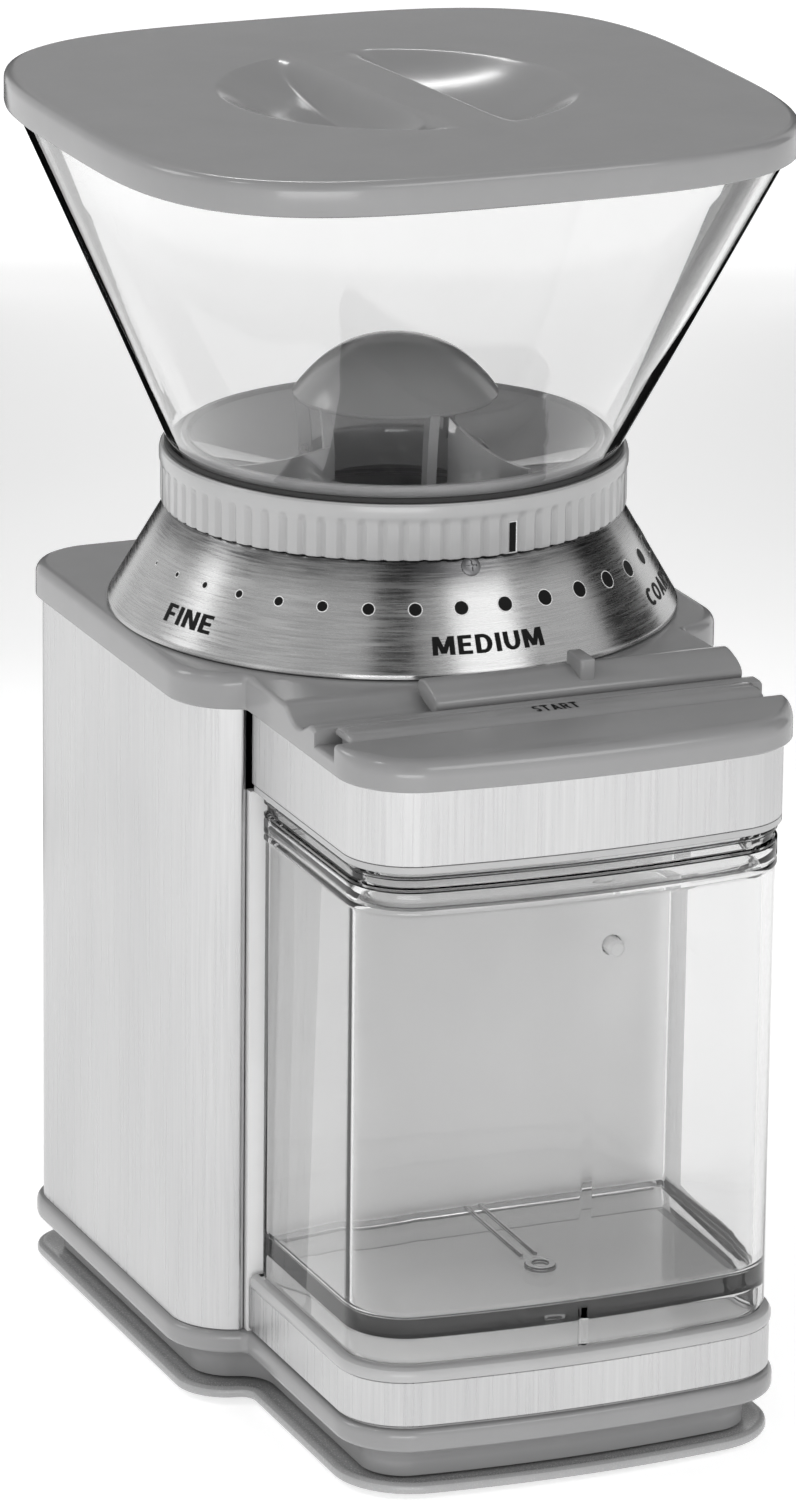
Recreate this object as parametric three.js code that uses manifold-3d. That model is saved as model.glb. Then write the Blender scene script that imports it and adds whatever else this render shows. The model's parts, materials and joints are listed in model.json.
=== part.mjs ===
// Burr coffee grinder: a T-shaped body with a motor and burr set behind, a bay for the grounds
// container in front, a dial cone on top, and a hopper that turns to set the grind.
// Millimetres, +Z up, front towards -Y. The machine is modelled about the burr axis and
// then set back so that the middle of the whole object's footprint is the origin.
import * as THREE from 'three';
import { mergeVertices } from 'three/addons/utils/BufferGeometryUtils.js';
import Module from 'manifold-3d';

const wasm = await Module();
wasm.setup();

// ---------------------------------------------------------------- driving dimensions
const AXIS_SETBACK = 16.75; // burr axis behind the middle of the footprint
const GAP = 0.3; // clearance between neighbouring mouldings

// Plan outlines, about the burr axis. A body outline is a rounded box; a nose outline is the
// narrower front part, whose front face bows forward.
const BODY = { half: 60.5, front: -40.4, back: 63.2, corner: 13.8 };
const NOSE = { half: 48.4, front: -104.1, bow: 4.1, corner: 14.7, root: -42 };
const FOOT_BODY = { half: 61.1, front: -42.7, back: 63.8, corner: 11.6 };
const FOOT_NOSE = { half: 48.7, front: -104.4, bow: 4.3, corner: 17.1, root: -42 };
const OVERHANG = 1.5; // cover and tray rims beyond the steel

// Heights of the horizontal joints, from the table up.
const Z = {
  plate: 1.2, tray: 3.5, flange: 11.5, deck: 15.6, band: 16.3, bandTop: 26.2, platform: 29,
  nook: 136, headSkin: 137.6, cover: 153.9, top: 161.4, cone: 161.6, coneTop: 183.6,
};
const STEEL = 1; // sheet thickness
const WALL = 2.2; // moulding thickness
const CHANNEL = 6; // depth of the cord-wrap channel

// Dial and hopper.
const CONE = { base: 60.8, top: 48.7, lip: 1.4 };
const COLLAR = { low: 48.9, high: 49.9, bottom: 183.9, top: 196.1, flutes: 72, rim: 3.5 };
const HOPPER = { seat: 188.4, neck: 47.6, top: 268, x: 72.7, y: 74.1, square: 3.27, wall: 2 };
const LID = { x: 75, y: 76.4, square: 3.27, bottom: 265.2, top: 273, wall: 2 };
const DISH = { radius: 38.5, depth: 8.5, rib: 13, skew: 5 };
const GUARD = { radius: 21.9, rim: 207.4, top: 220 };

// Burrs and drive.
const BURR = { radius: 31, lower: 148, ridge: 2, plate: 4, gap: 1, ridges: 12 };
const CHAMBER = { inner: 35, outer: 38, floor: 134, top: 158 };
const RING = { inner: 35.4, outer: 41.2, bottom: 163, top: 181.5, lugs: 3 };
const THROAT = 14; // radius of the way down to the burrs
const HOLDER = { outer: 34.6, inner: 32.4, top: 181, floor: 2.5 };
const HOUSING = { outer: 44, inner: 41.8, top: 181.5, floor: 3.5 };
const GEAR = { module: 1.5, wheel: 32, pinion: 10, bottom: 109, height: 8 };
const GEARBOX = { x: 36, front: -34, back: 44, bottom: 104, floor: 3, height: 16, wall: 2 };
const SHAFT = { radius: 4, bottom: 104.2, bearing: 8 };
const MOTOR = {
  y: GEAR.module * (GEAR.wheel + GEAR.pinion) / 2, radius: 28, wall: 1.4, bottom: 42, top: 100,
  shaft: 2.5, shaftTop: 118.5, rotor: 20.8, stator: 21.5, stack: [52, 92],
};

// Container.
const CUP = { inset: 0.8, back: -44.2, wall: 2.2, floor: 35, inside: 38.7, bead: 127, top: 131.8 };
const CHUTE = { half: 13, front: -84, back: -37, bottom: 138.3, top: 147.5, exit: [-82, -62] };

// Controls.
const SELECTOR = { left: -21, right: 48, y: -69.6, z: 161.8, long: 5.4, thick: 2.2, tilt: 16 };
const START = { half: 46, y: -85.3, width: 10.2, crest: 161.7, bottom: 156.8 };
const BOARD = { bottom: 149, thick: 1.6 };

// ---------------------------------------------------------------- materials
const paint = (color, roughness, metalness) =>
  new THREE.MeshStandardMaterial({ color, roughness, metalness });
const clear = (color, opacity) =>
  new THREE.MeshStandardMaterial({ color, opacity, roughness: 0.05, transparent: true });
const MATERIAL = {
  plastic: paint(0x9a9a9a, 0.45, 0),
  darkPlastic: paint(0x2e2e30, 0.6, 0),
  steel: paint(0xc4c4c4, 0.35, 1),
  darkSteel: paint(0x77777a, 0.4, 1),
  brass: paint(0xb89a55, 0.4, 1),
  rubber: paint(0x1c1c1c, 0.9, 0),
  board: paint(0x2c5a3c, 0.6, 0),
  clear: clear(0xe6eaec, 0.35),
  smoke: clear(0x8c9094, 0.45),
};

// ---------------------------------------------------------------- solids
// Keeps positions only, welds shared corners and drops triangles that have collapsed.
function weld(geometry) {
  const bare = geometry.clone();
  bare.deleteAttribute('normal');
  bare.deleteAttribute('uv');
  const merged = mergeVertices(bare, 1e-4);
  const index = merged.index.array;
  const kept = [];
  for (let i = 0; i < index.length; i += 3) {
    const [a, b, c] = [index[i], index[i + 1], index[i + 2]];
    if (a !== b && b !== c && c !== a) kept.push(a, b, c);
  }
  merged.setIndex(kept);
  return merged;
}

// Six times the signed volume: negative when the faces point inwards.
function signedVolume(geometry) {
  const p = geometry.attributes.position;
  const index = geometry.index.array;
  const corner = (i) => new THREE.Vector3().fromBufferAttribute(p, index[i]);
  let sum = 0;
  for (let i = 0; i < index.length; i += 3) {
    sum += corner(i).dot(corner(i + 1).cross(corner(i + 2)));
  }
  return sum;
}

function solid(geometry) {
  const welded = weld(geometry);
  const tri = Uint32Array.from(welded.index.array);
  if (signedVolume(welded) < 0) {
    for (let i = 0; i < tri.length; i += 3) [tri[i + 1], tri[i + 2]] = [tri[i + 2], tri[i + 1]];
  }
  const vertProperties = Float32Array.from(welded.attributes.position.array);
  return new wasm.Manifold(new wasm.Mesh({ numProp: 3, vertProperties, triVerts: tri }));
}

function geometryOf(manifold) {
  const mesh = manifold.getMesh();
  const geometry = new THREE.BufferGeometry();
  geometry.setAttribute('position', new THREE.BufferAttribute(mesh.vertProperties, 3));
  geometry.setIndex(new THREE.BufferAttribute(mesh.triVerts, 1));
  geometry.computeVertexNormals();
  return geometry;
}

const join = (first, ...rest) => rest.reduce((sum, item) => sum.add(item), first);
const cut = (first, ...rest) => rest.reduce((sum, item) => sum.subtract(item), first);

function box(x0, x1, y0, y1, z0, z1) {
  const geometry = new THREE.BoxGeometry(x1 - x0, y1 - y0, z1 - z0);
  return solid(geometry.translate((x0 + x1) / 2, (y0 + y1) / 2, (z0 + z1) / 2));
}

// A plan outline raised from z0 to z1.
function raise(shape, z0, z1, curveSegments = 4) {
  const depth = z1 - z0;
  const geometry = new THREE.ExtrudeGeometry(shape, { depth, bevelEnabled: false, curveSegments });
  return solid(geometry.translate(0, 0, z0));
}

// A (y, z) profile drawn along X from x0 to x1.
function drawAlongX(profile, x0, x1) {
  const shape = new THREE.Shape(profile.map(([y, z]) => new THREE.Vector2(y, z)));
  const geometry = new THREE.ExtrudeGeometry(shape, { depth: x1 - x0, bevelEnabled: false });
  geometry.rotateX(Math.PI / 2).rotateZ(Math.PI / 2);
  return solid(geometry.translate(x0, 0, 0));
}

// A closed or axis-to-axis (radius, z) profile turned about the Z axis.
function turn(profile, segments = 24) {
  const points = profile.map(([r, z]) => new THREE.Vector2(r, z));
  return solid(new THREE.LatheGeometry(points, segments).rotateX(Math.PI / 2));
}

const ring = (inner, outer, z0, z1, segments) =>
  turn([[inner, z0], [outer, z0], [outer, z1], [inner, z1], [inner, z0]], segments);
const disc = (radius, z0, z1, segments) =>
  turn([[0, z0], [radius, z0], [radius, z1], [0, z1]], segments);
const at = (manifold, x, y, z = 0) => manifold.translate([x, y, z]);

// ---------------------------------------------------------------- plan outlines
function bodyShape(plan, inset = 0) {
  const [x, r] = [plan.half - inset, Math.max(plan.corner - inset, 1)];
  const [y0, y1] = [plan.front + inset, plan.back - inset];
  const shape = new THREE.Shape();
  shape.absarc(x - r, y0 + r, r, -Math.PI / 2, 0);
  shape.absarc(x - r, y1 - r, r, 0, Math.PI / 2);
  shape.absarc(-x + r, y1 - r, r, Math.PI / 2, Math.PI);
  shape.absarc(-x + r, y0 + r, r, Math.PI, Math.PI * 1.5);
  return shape;
}

// The front face is one arc that bows forward; its corners are arcs tangent to it and the sides.
function noseShape(plan, inset = 0, root = plan.root) {
  const r = Math.max(plan.corner - inset, 1);
  const x = plan.half - inset;
  const tip = plan.front - plan.bow + inset;
  const bowRadius = (plan.half ** 2 + plan.bow ** 2) / (2 * plan.bow) - inset;
  const centreY = tip + bowRadius;
  const sine = (x - r) / (bowRadius - r);
  const lean = Math.asin(sine);
  const cornerY = centreY - (bowRadius - r) * Math.cos(lean);
  const shape = new THREE.Shape();
  shape.moveTo(x, root);
  shape.lineTo(-x, root);
  shape.absarc(-x + r, cornerY, r, Math.PI, Math.PI * 1.5 - lean);
  shape.absarc(0, centreY, bowRadius, Math.PI * 1.5 - lean, Math.PI * 1.5 + lean);
  shape.absarc(x - r, cornerY, r, Math.PI * 1.5 + lean, Math.PI * 2);
  return shape;
}

const grow = (plan, by) => ({
  ...plan, half: plan.half + by, front: plan.front - by, corner: plan.corner + by,
  ...(plan.back ? { back: plan.back + by } : {}),
});

// Body and nose outlines raised together as one T-shaped slab; the nose is rooted inside the body.
function tee(bodyPlan, nosePlan, inset, z0, z1) {
  return raise(bodyShape(bodyPlan, inset), z0, z1).add(raise(noseShape(nosePlan, inset, 0), z0, z1));
}

// ---------------------------------------------------------------- assembly
const machine = new THREE.Group();
machine.position.y = AXIS_SETBACK;
const grinder = new THREE.Group();
grinder.add(machine);

function place(name, manifold, material) {
  const mesh = new THREE.Mesh(geometryOf(manifold), material);
  mesh.name = name;
  machine.add(mesh);
}

// ---------------------------------------------------------------- base
const FEET = [[-46, 50], [46, 50], [-34, -88], [34, -88]];
const BOSSES = [[-40, 40], [40, 40], [-30, -78], [30, -78]];
const TRAY_BODY = grow(BODY, OVERHANG);
const TRAY_NOSE = grow(NOSE, 0.8);

function base() {
  const screwHoles = BOSSES.map(([x, y]) => at(disc(1.9, Z.plate - 1, Z.tray + 1, 8), x, y));
  const headPockets = BOSSES.map(([x, y]) => at(disc(3.5, Z.plate - 1, Z.plate + 1.6, 10), x, y));
  const plate = tee(FOOT_BODY, FOOT_NOSE, 0, Z.plate, Z.tray);
  place('base_plate', cut(plate, ...screwHoles, ...headPockets), MATERIAL.plastic);
  FEET.forEach(([x, y], i) => {
    place(`rubber_foot_${i + 1}`, at(disc(7, 0, Z.plate, 16), x, y), MATERIAL.rubber);
  });

  const core = tee(TRAY_BODY, TRAY_NOSE, CHANNEL, Z.tray, Z.flange);
  const flange = tee(TRAY_BODY, TRAY_NOSE, 0, Z.flange, Z.deck);
  const hollow = tee(TRAY_BODY, TRAY_NOSE, CHANNEL + WALL, Z.tray - 1, Z.deck - WALL);
  const bosses = BOSSES.map(([x, y]) => at(ring(1.9, 4.5, Z.tray, Z.deck - WALL / 2, 8), x, y));
  const glandHole = solid(new THREE.CylinderGeometry(3.2, 3.2, 12, 10)).translate([24, 57, 7.5]);
  const tray = cut(join(cut(join(core, flange), hollow), ...bosses), glandHole);
  place('base_tray', tray, MATERIAL.plastic);

  const screw = turn([[0, 1.4], [3, 1.4], [3, 2.6], [1.5, 2.6], [1.5, 11], [0, 11]], 8);
  BOSSES.forEach(([x, y], i) => place(`base_screw_${i + 1}`, at(screw, x, y), MATERIAL.darkSteel));

  // Cord gland through the back wall of the channel.
  const gland = turn([[1.2, -5], [2.9, -5], [2.9, 0.2], [3.7, 0.2], [3.7, 1.6], [2.6, 4.6], [1.2, 4.6],
    [1.2, -5]], 10);
  const wallY = TRAY_BODY.back - CHANNEL;
  place('cord_gland', gland.rotate([-90, 0, 0]).translate([24, wallY, 7.5]), MATERIAL.rubber);
}

// ---------------------------------------------------------------- body shell and bay
const SKIN_EDGE = NOSE.half + 0.4; // the skin's front returns stop here, beside the nose
const PIN = { x: 34, z: 92 }; // container interlock

function body() {
  const outer = raise(bodyShape(BODY), Z.deck, Z.cover);
  const inner = raise(bodyShape(BODY, STEEL), Z.deck - 1, Z.cover + 1);
  const mouth = box(-SKIN_EDGE, SKIN_EDGE, BODY.front - 1, BODY.front + 4, Z.deck - 1, Z.cover + 1);
  place('body_skin', cut(outer, inner, mouth), MATERIAL.steel);

  const wallHalf = SKIN_EDGE - GAP;
  const wallFront = BODY.front - 0.4;
  const wall = box(-wallHalf, wallHalf, wallFront, wallFront + WALL, Z.deck, Z.nook - GAP);
  const pinHole = solid(new THREE.CylinderGeometry(2.4, 2.4, 8, 12)).translate([PIN.x, wallFront, PIN.z]);
  place('bay_wall', cut(wall, pinHole), MATERIAL.plastic);

  // The nook for the container: a platform below with its steel band, and the head above.
  const bandBlock = raise(noseShape(NOSE), Z.band, Z.bandTop);
  const bandCore = raise(noseShape(NOSE, STEEL, NOSE.root + 5), Z.band - 1, Z.bandTop + 1);
  place('base_band', cut(bandBlock, bandCore), MATERIAL.steel);

  const plinth = raise(noseShape(NOSE, STEEL + 0.1), Z.deck, Z.bandTop);
  const lip = raise(noseShape(grow(NOSE, 0.2)), Z.bandTop, Z.platform);
  const cavity = raise(noseShape(NOSE, STEEL + WALL, NOSE.root - WALL), Z.deck - 1, Z.platform - WALL);
  place('container_platform', cut(join(plinth, lip), cavity), MATERIAL.plastic);

  const skin = raise(noseShape(NOSE), Z.headSkin, Z.cover + 0.5);
  const skinCore = raise(noseShape(NOSE, STEEL, NOSE.root + 5), Z.headSkin - 1, Z.cover + 2);
  place('head_skin', cut(skin, skinCore), MATERIAL.steel);

  const rim = raise(noseShape(NOSE), Z.nook, Z.headSkin);
  const shell = raise(noseShape(NOSE, STEEL + 0.1), Z.headSkin, Z.cover);
  const room = raise(noseShape(NOSE, STEEL + WALL, NOSE.root + 5), Z.headSkin + 0.4, Z.cover + 1);
  const drop = box(-11, 11, ...CHUTE.exit, Z.nook - 1, Z.headSkin + 1);
  const posts = [[-34, -92], [34, -92], [-34, -60], [34, -60]].map(([x, y]) =>
    at(disc(3, Z.headSkin, BOARD.bottom - 0.1, 8), x, y));
  place('head_frame', join(cut(join(rim, shell), room, drop), ...posts), MATERIAL.plastic);
}

// ---------------------------------------------------------------- top cover
// Profile of the nose part from the cone to the front lip: a flat, the scooped selector channel,
// a low hump, the groove of the START bar and the front deck, whose edge the outline cuts.
function coverProfile() {
  const scoop = Array.from({ length: 7 }, (_, i) => {
    const t = i / 6;
    return [-63.4 - 13 * t, Z.top - 3 * Math.sin(Math.PI * t) - 0.8 * t];
  });
  const grooveBack = START.y + START.width / 2 + GAP;
  const grooveFront = START.y - START.width / 2 - GAP;
  return [
    [-30, Z.top], ...scoop, [-78.2, Z.top - 0.8], [grooveBack + 0.3, Z.top - 1],
    [grooveBack, Z.top - 1.6], [grooveBack, Z.top - 4], [grooveFront, Z.top - 4],
    [grooveFront, Z.top - 0.9], [-106, Z.top - 0.6], [-112, Z.top - 1.4],
    [-112, Z.cover], [-30, Z.cover],
  ];
}

function cover() {
  const bodyPlan = grow(BODY, OVERHANG);
  const nosePlan = grow(NOSE, 1.7);
  const bodySlab = raise(bodyShape(bodyPlan), Z.cover, Z.top);
  const noseLow = Z.cover + 0.6;
  const noseBlock = raise(noseShape(nosePlan, 0, BODY.front + 6), noseLow, Z.top);
  const noseSlab = noseBlock.intersect(drawAlongX(coverProfile(), -60, 60));
  const bodyHollow = raise(bodyShape(BODY, STEEL + 1), Z.cover - 1, Z.top - 3);
  const noseHollow = raise(noseShape(NOSE, STEEL + 1, NOSE.root + 5), Z.cover - 1, Z.top - 5);
  const throat = disc(45.4, Z.cover - 1, Z.top + 1, 36);
  const startSlot = box(-START.half - GAP, START.half + GAP, START.y - 3, START.y + 3, Z.cover, Z.top);
  const stemSlot = box(-15.8, 15.8, SELECTOR.y - 1.6, SELECTOR.y + 1.6, Z.cover, Z.top + 1);
  const shell = cut(join(bodySlab, noseSlab), bodyHollow, noseHollow, throat, startSlot, stemSlot);
  place('top_cover', shell, MATERIAL.plastic);
}

// ---------------------------------------------------------------- dial cone
const SCREW_Z = 180.9;

function dial() {
  const skin = turn([
    [CONE.base - STEEL, Z.cone], [CONE.base, Z.cone], [CONE.base, Z.cone + CONE.lip],
    [CONE.top, Z.coneTop], [CONE.top - STEEL, Z.coneTop - 0.2], [CONE.base - STEEL, Z.cone + CONE.lip - 0.6],
    [CONE.base - STEEL, Z.cone],
  ], 40);
  const rise = Z.coneTop - Z.cone - CONE.lip;
  const slope = Math.atan2(rise, CONE.base - CONE.top);
  const radius = CONE.top + (CONE.base - CONE.top) * (Z.coneTop - SCREW_Z) / rise;
  const onCone = (item, turnDeg) => item.rotate([0, 90 - THREE.MathUtils.radToDeg(Math.PI / 2 - slope), 0])
    .translate([radius, 0, SCREW_Z]).rotate([0, 0, turnDeg]);
  const places = [-93.4, 26.6, 146.6];
  const holes = places.map((angle) => onCone(disc(1.5, -6, 4, 8), angle));
  place('dial_cone', cut(skin, ...holes), MATERIAL.steel);
  const screw = turn([[0, -3], [1.1, -3], [1.1, 0.15], [2.1, 0.15], [1.5, 1], [0, 1.3]], 10);
  places.forEach((angle, i) => {
    place(`cone_screw_${i + 1}`, onCone(screw, angle), MATERIAL.darkSteel);
  });
}

// ---------------------------------------------------------------- motor and gears
function gearShape(teeth) {
  const m = GEAR.module;
  const [root, tip] = [m * (teeth / 2 - 1.15), m * (teeth / 2 + 0.85)];
  const pitch = (2 * Math.PI) / teeth;
  const shape = new THREE.Shape();
  const corner = (radius, angle, first) => {
    const [x, y] = [radius * Math.cos(angle), radius * Math.sin(angle)];
    if (first) shape.moveTo(x, y);
    else shape.lineTo(x, y);
  };
  for (let i = 0; i < teeth; i += 1) {
    const middle = i * pitch;
    corner(root, middle - 0.3 * pitch, i === 0);
    corner(tip, middle - 0.1 * pitch);
    corner(tip, middle + 0.1 * pitch);
    corner(root, middle + 0.3 * pitch);
  }
  return shape;
}

function drive() {
  const { x, front, back, bottom: plateZ, floor, height, wall } = GEARBOX;
  const plateTop = plateZ + floor;
  const coverTop = plateTop + height;
  const plate = box(-54, 54, -36, 58, plateZ, plateTop);
  const legs = [[-50, -31], [50, -31], [-50, 53], [50, 53]].map(([legX, legY]) =>
    box(legX - 4, legX + 4, legY - 4, legY + 4, Z.deck, plateZ));
  const boreRadius = SHAFT.bearing + 0.1;
  const shaftBore = disc(boreRadius, plateZ - 1, plateTop + 1, 20);
  const motorBore = at(disc(10, plateZ - 1, plateTop + 1, 20), 0, MOTOR.y);
  place('inner_frame', cut(join(plate, ...legs), shaftBore, motorBore), MATERIAL.darkPlastic);

  const shell = box(-x, x, front, back, plateTop, coverTop);
  const inside = box(-x + wall, x - wall, front + wall, back - wall, plateTop - 1, coverTop - wall);
  const topBore = disc(boreRadius, coverTop - 2 * wall, coverTop + 1, 20);
  place('gearbox_cover', cut(shell, inside, topBore), MATERIAL.darkPlastic);
  const bearing = (z) => ring(SHAFT.radius + 0.05, SHAFT.bearing, z, z + 4, 20);
  place('lower_bearing', bearing(plateZ), MATERIAL.brass);
  place('upper_bearing', bearing(coverTop - 3), MATERIAL.brass);

  const { radius, bottom, top, shaft, shaftTop, rotor, stator } = MOTOR;
  const [low, high] = MOTOR.stack;
  const bore = radius - MOTOR.wall;
  const canFloor = bottom + MOTOR.wall;
  const stepZ = bottom + 4; // top of the thrust button under the rotor's shaft
  const motor = (profile) => at(turn(profile), 0, MOTOR.y);
  const can = [[0, bottom], [radius, bottom], [radius, top], [bore, top], [bore, canFloor],
    [shaft + 0.5, canFloor], [shaft + 0.5, stepZ], [0, stepZ]];
  place('motor_can', motor(can), MATERIAL.darkSteel);
  const eye = shaft + 0.2;
  const bell = [[eye, top + 0.2], [radius, top + 0.2], [radius, top + 3.8], [9.5, top + 3.8],
    [9.5, top + 6], [eye, top + 6], [eye, top + 0.2]];
  place('motor_end_bell', motor(bell), MATERIAL.darkSteel);
  place('stator_core', at(ring(stator, bore - 0.2, low, high), 0, MOTOR.y), MATERIAL.darkSteel);
  const spindle = [[0, stepZ + 0.4], [shaft, stepZ + 0.4], [shaft, low + 2], [rotor, low + 2],
    [rotor, high - 2], [shaft, high - 2], [shaft, shaftTop], [0, shaftTop]];
  place('motor_rotor', motor(spindle), MATERIAL.darkSteel);

  const toothed = (teeth, hole) => cut(raise(gearShape(teeth), GEAR.bottom, GEAR.bottom + GEAR.height),
    disc(hole, GEAR.bottom - 1, GEAR.bottom + GEAR.height + 1));
  place('motor_pinion', at(toothed(GEAR.pinion, shaft + 0.1), 0, MOTOR.y), MATERIAL.brass);
  place('drive_gear', toothed(GEAR.wheel, SHAFT.radius + 0.05), MATERIAL.darkPlastic);
}

// ---------------------------------------------------------------- burrs
// Radial ridges standing on one face of a burr.
function ridges(inner, z0, z1) {
  return Array.from({ length: BURR.ridges }, (_, i) =>
    box(inner, BURR.radius - 0.6, -0.9, 0.9, z0, z1).rotate([0, 0, (360 * i) / BURR.ridges]));
}

function burrs() {
  const { radius, plate, ridge } = BURR;
  const { inner, outer, floor, top } = CHAMBER;
  const shaft = SHAFT.radius;
  const lowerTop = BURR.lower + plate;
  const upperBottom = lowerTop + ridge + BURR.gap;
  const upperTop = upperBottom + ridge + plate;
  const spindle = [[0, SHAFT.bottom], [shaft, SHAFT.bottom], [shaft, lowerTop], [shaft + 2, lowerTop + 0.1],
    [shaft + 2, lowerTop + 2], [0, lowerTop + 3.6]];
  place('burr_shaft', turn(spindle, 20), MATERIAL.darkSteel);
  const lower = ring(shaft + 0.1, radius, BURR.lower, lowerTop, 28);
  const lowerRidges = ridges(12, lowerTop - 0.5, lowerTop + ridge);
  place('lower_burr', join(lower, ...lowerRidges), MATERIAL.darkSteel);

  const diskBottom = floor + 4;
  const hub = ring(shaft + 0.1, 8, diskBottom, BURR.lower - 0.1, 20);
  const disk = ring(7, inner - 2, diskBottom, diskBottom + 2, 28);
  const vanes = [0, 90, 180, 270].map((angle) =>
    box(7, inner - 2, -1.2, 1.2, diskBottom + 1, BURR.lower - 1).rotate([0, 0, angle]));
  place('impeller', join(hub, disk, ...vanes), MATERIAL.darkPlastic);

  const upper = ring(THROAT, radius, upperTop - plate, upperTop, 28);
  const upperRidges = ridges(THROAT + 1, upperBottom, upperTop - plate + 0.5);
  place('upper_burr', join(upper, ...upperRidges), MATERIAL.darkSteel);
  const holderBottom = upperTop + 0.1;
  const holder = [[THROAT, holderBottom], [HOLDER.outer, holderBottom], [HOLDER.outer, HOLDER.top],
    [HOLDER.inner, HOLDER.top], [HOLDER.inner, 170], [THROAT, holderBottom + HOLDER.floor],
    [THROAT, holderBottom]];
  place('burr_holder', turn(holder, 32), MATERIAL.darkPlastic);

  const skirt = [30, 123.2]; // the chamber stands on the gearbox on this foot
  const cup = turn([
    skirt, [outer, skirt[1]], [outer, top], [inner, top], [inner, floor + 3], [shaft + 1, floor + 3],
    [shaft + 1, floor], [skirt[0], floor], skirt,
  ], 36);
  const window = box(-11, 11, -outer - 2, -20, CHUTE.bottom + 1.5, CHUTE.top - 1.5);
  place('grind_chamber', cut(cup, window), MATERIAL.darkPlastic);

  const ledge = top + HOUSING.floor;
  const housing = [[inner, top + 0.1], [HOUSING.outer, top + 0.1], [HOUSING.outer, HOUSING.top],
    [HOUSING.inner, HOUSING.top], [HOUSING.inner, ledge], [inner, ledge], [inner, top + 0.1]];
  place('head_housing', turn(housing, 36), MATERIAL.darkPlastic);
  const notches = Array.from({ length: RING.lugs }, (_, i) =>
    box(36, 43, -3.6, 3.6, RING.top - 4, RING.top + 1).rotate([0, 0, (360 * i) / RING.lugs]));
  const thread = ring(RING.inner, RING.outer, RING.bottom, RING.top, 36);
  place('adjusting_ring', cut(thread, ...notches), MATERIAL.darkPlastic);

  // Chute from the chamber's window to the drop above the container.
  const duct = box(-CHUTE.half, CHUTE.half, CHUTE.front, CHUTE.back - 1.5, CHUTE.bottom, CHUTE.top);
  const bore = box(-11, 11, CHUTE.front + 2, CHUTE.back, CHUTE.bottom + 1.5, CHUTE.top - 1.5);
  const mouth = box(-11, 11, ...CHUTE.exit, CHUTE.bottom - 1, CHUTE.bottom + 3);
  place('grounds_chute', cut(duct, bore, mouth), MATERIAL.darkPlastic);
}

// ---------------------------------------------------------------- controls
const TAB_X = (SELECTOR.left + SELECTOR.right) / 2;
const SPRINGS = { x: 34, bottom: 150.8, top: 156.6, radius: 2.2, wire: 0.4, turns: 3 };

// Helix of a start spring, with its ends level with the board and the bar.
class Helix extends THREE.Curve {
  getPoint(t, target = new THREE.Vector3()) {
    const { radius, wire, turns, bottom, top } = SPRINGS;
    const angle = 2 * Math.PI * turns * t;
    const z = bottom + wire + (top - bottom - 2 * wire) * t;
    return target.set(radius * Math.cos(angle), radius * Math.sin(angle), z);
  }
}

function controls() {
  const { y, z, long, thick, tilt } = SELECTOR;
  const lens = Array.from({ length: 16 }, (_, i) => {
    const [u, v] = [long * Math.cos((Math.PI * i) / 8), thick * Math.sin((Math.PI * i) / 8)];
    const a = THREE.MathUtils.degToRad(tilt);
    return [y + u * Math.cos(a) - v * Math.sin(a), z + u * Math.sin(a) + v * Math.cos(a)];
  });
  const bar = drawAlongX(lens, SELECTOR.left, SELECTOR.right);
  const tab = box(TAB_X - 1.7, TAB_X + 1.7, y - 3.8, y + 4.2, z, z + 5.4);
  const stem = box(TAB_X - 1.4, TAB_X + 1.4, y - 1.2, y + 1.2, 152.6, z);
  place('cup_selector', join(bar, tab, stem), MATERIAL.plastic);

  const { half, width, crest, bottom } = START;
  const arch = Array.from({ length: 9 }, (_, i) => {
    const t = i / 8;
    return [START.y + width * (t - 0.5), crest - 1.9 + 1.9 * Math.sin(Math.PI * t)];
  });
  const low = START.width / 2;
  const skirtZ = crest - 2.2; // above the groove's floor by more than the bar's travel
  const top = drawAlongX([...arch, [START.y + low, skirtZ], [START.y - low, skirtZ]], -half, half);
  const keel = box(-half, half, START.y - 2.7, START.y + 2.7, bottom, skirtZ + 0.5);
  const finger = box(6, 12, START.y - 2, START.y + 2, bottom - 1, bottom + 1);
  place('start_bar', join(top, keel, finger), MATERIAL.plastic);

  const boardTop = BOARD.bottom + BOARD.thick;
  const board = box(-42, 42, -97, -57, BOARD.bottom, boardTop);
  place('control_board', board, MATERIAL.board);
  const potCase = box(-20, 20, y - 4, y + 4, boardTop, 154.4);
  const potSlot = box(-16, 16, y - 1.8, y + 1.8, 152, 156);
  place('selector_pot', cut(potCase, potSlot), MATERIAL.darkPlastic);
  place('start_switch', box(4, 14, START.y - 3, START.y + 3, boardTop, 153.7), MATERIAL.darkPlastic);

  const section = new THREE.Shape();
  section.absarc(0, 0, SPRINGS.wire, 0, 2 * Math.PI);
  const coil = solid(new THREE.ExtrudeGeometry(section, {
    steps: 8 * SPRINGS.turns, curveSegments: 2.5, bevelEnabled: false, extrudePath: new Helix(),
  }));
  place('start_spring_left', at(coil, -SPRINGS.x, START.y), MATERIAL.darkSteel);
  place('start_spring_right', at(coil, SPRINGS.x, START.y), MATERIAL.darkSteel);

  // Container interlock: a pin through the bay wall in front of its switch.
  const pin = turn([[0, 0], [1.4, 0], [2, 0.6], [2, 12.6], [0, 12.6]], 12).rotate([-90, 0, 0]);
  place('interlock_pin', at(pin, PIN.x, CUP.back + GAP, PIN.z), MATERIAL.plastic);
  const pinEnd = CUP.back + GAP + 12.6;
  const interlock = box(PIN.x - 6, PIN.x + 6, pinEnd + 2, pinEnd + 9, PIN.z - 6, PIN.z + 6);
  place('interlock_switch', interlock, MATERIAL.darkPlastic);
}

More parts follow.
